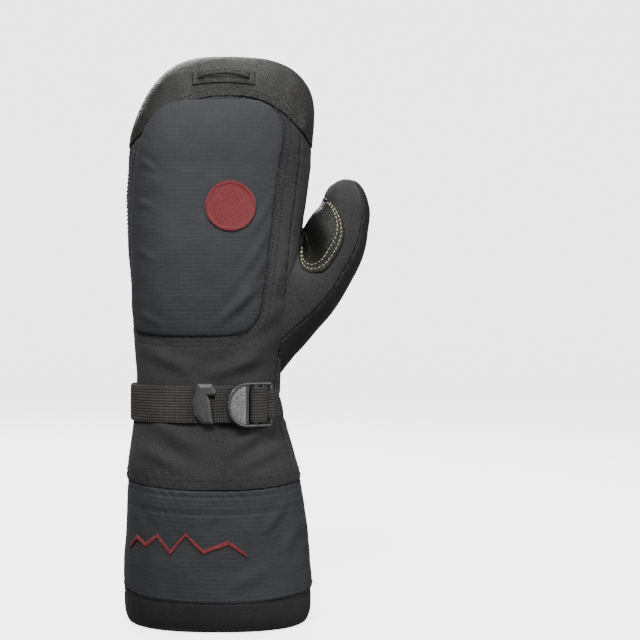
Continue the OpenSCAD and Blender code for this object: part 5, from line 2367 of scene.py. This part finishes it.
    def pull(self) -> None:
        """Makes the moulded pull: an upper hook over a sloping wing, with a raised face."""
        outline = [
            (1.0, 7.0), (-1.2, 11.4), (-9.3, 11.4), (-12.0, 0.5), (-10.9, -5.4), (-6.6, -10.3),
            (-0.7, -10.3), (-2.3, 1.6), (-3.9, 4.9), (-0.1, 4.9)
        ]
        inner = [
            (-0.4, 6.4), (-1.9, 9.6), (-7.6, 9.4), (-9.2, 1.0), (-8.2, -4.4), (-5.4, -8.9),
            (-2.2, -8.9), (-3.9, 1.8), (-5.0, 5.6), (-1.4, 5.9)
        ]
        n = len(outline)
        rings = []
        for ring, depth in ((outline, 0.0), (outline, -2.0), (inner, -3.1)):
            rings.append(np.array([(x, self.tail_y + depth, self.middle + z) for x, z in ring]))
        points = np.vstack(rings)
        faces = [tuple(range(n))]
        for level in (0, 1):
            a, b = level * n, (level + 1) * n
            faces += [(a + (k + 1) % n, a + k, b + k, b + (k + 1) % n) for k in range(n)]
        faces.append(tuple(reversed(range(2 * n, 3 * n))))
        made = mesh_object("strap_pull_block", points, faces, FINISHES.get("pull_plastic"), smooth=False)
        bevel = made.modifiers.new("soft_edges", "BEVEL")
        bevel.width = 0.35 * MM
        bevel.segments = 3
        bevel.limit_method = "ANGLE"
        bevel.angle_limit = math.radians(12)
        made = plain_mesh(made, "strap_pull_moulding")
        hand_in(made, ON_STRAP_END, "pull_plastic", "strap_end_pull")


# --------------------------------------------------------------------------- stage


@dataclass
class Studio:
    """The floor, the soft lights and the camera."""

    eye: tuple[float, float, float] = (0.007, -0.69, 0.1663)
    lens: float = 69.3
    shift: float = 0.144

    def build(self) -> None:
        """Makes the whole stage."""
        self.floor()
        self.lights()
        self.camera()

    def floor(self) -> None:
        """Makes a wide pale floor that turns up into its backdrop."""
        radii = np.concatenate(
            [[0.004], np.linspace(0.1, 2.2, 24), 2.2 + 0.8 * np.sin(np.linspace(0.1, math.pi / 2, 14))]
        )
        heights = np.concatenate([np.zeros(25), 0.8 * (1 - np.cos(np.linspace(0.1, math.pi / 2, 14)))])
        radii, heights = np.append(radii, 3.0), np.append(heights, 2.6)
        turn = np.linspace(0, 2 * math.pi, 97)
        ring = np.stack([np.cos(turn), np.sin(turn), np.zeros(97)], axis=1)
        points = ring[None] * radii[:, None, None] / MM
        points[..., 2] = heights[:, None] / MM - 0.4
        points = points[:, ::-1]
        g = Graph("studio_floor")
        cloud = g.noise(g.place(0.02), 1.0, 2)
        colour = g.tint(g.spread(cloud, 0.3, 0.7), (0.86, 0.86, 0.86), (0.9, 0.9, 0.9))
        g.shader.inputs["Emission Color"].default_value = (1.0, 1.0, 1.0, 1.0)
        material = g.finish(colour, 0.75, None, 0.0, Specular_IOR_Level=0.2, Emission_Strength=3.2)
        patch = Patch(points, closed=True)
        if patch.normals[4, 0, 2] < 0:
            patch = Patch(points[:, ::-1], closed=True)
        made = cloth_object("studio_floor", patch, material)
        made.visible_glossy = False
        made.visible_diffuse = False

    def lights(self) -> None:
        """Places the soft lights and the pale world."""
        world = bpy.data.worlds.new("studio_world")
        world.use_nodes = True
        background = world.node_tree.nodes["Background"]
        background.inputs[0].default_value = (1.0, 1.0, 1.0, 1.0)
        background.inputs[1].default_value = 0.3
        bpy.context.scene.world = world
        plans = (
            ("key", (-0.22, -0.85, 1.0), 0.45, 20.5, 0.2),
            ("fill", (0.9, -0.6, 0.35), 0.5, 7.0, 0.16),
            ("top", (0.1, 0.2, 1.3), 0.6, 7.0, 0.16),
            ("palm", (-0.3, 1.0, 0.9), 0.6, 12.0, 0.16),
        )
        for name, place, size, power, aim_z in plans:
            data = bpy.data.lights.new(name, "AREA")
            data.shape = "DISK"
            data.size = size
            data.energy = power
            light = bpy.data.objects.new(name, data)
            light.location = place
            aim = Vector((0.0, 0.0, aim_z)) - light.location
            light.rotation_euler = aim.to_track_quat("-Z", "Y").to_euler()
            bpy.context.scene.collection.objects.link(light)

    def camera(self) -> None:
        """Places the camera level with the middle of the mitten."""
        data = bpy.data.cameras.new("camera")
        data.sensor_width = 36.0
        data.lens = self.lens
        data.shift_x = self.shift
        data.clip_start, data.clip_end = 0.05, 20.0
        eye = bpy.data.objects.new("camera", data)
        eye.location = self.eye
        eye.rotation_euler = (math.radians(90), 0.0, 0.0)
        bpy.context.scene.collection.objects.link(eye)
        bpy.context.scene.camera = eye


def main() -> None:
    """Builds the mitten and its stage."""
    logging.basicConfig(level=logging.INFO, format="%(name)s %(message)s")
    low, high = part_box("hem_band")
    form = MittenForm(hem_w=(high.x - low.x) / MM, hem_d=(high.y - low.y) / MM)
    Gauntlet(form).build()
    shell = HandShell(form)
    surfaces = shell.build()
    HandLayers(form, shell).build()
    BackPad(form).build(surfaces)
    Trim(form).build(surfaces)
    Thumb(form, shell).build()
    WristStrap(form).build()
    SEWING.make()
    Studio().build()


if __name__ == "__main__":
    main()
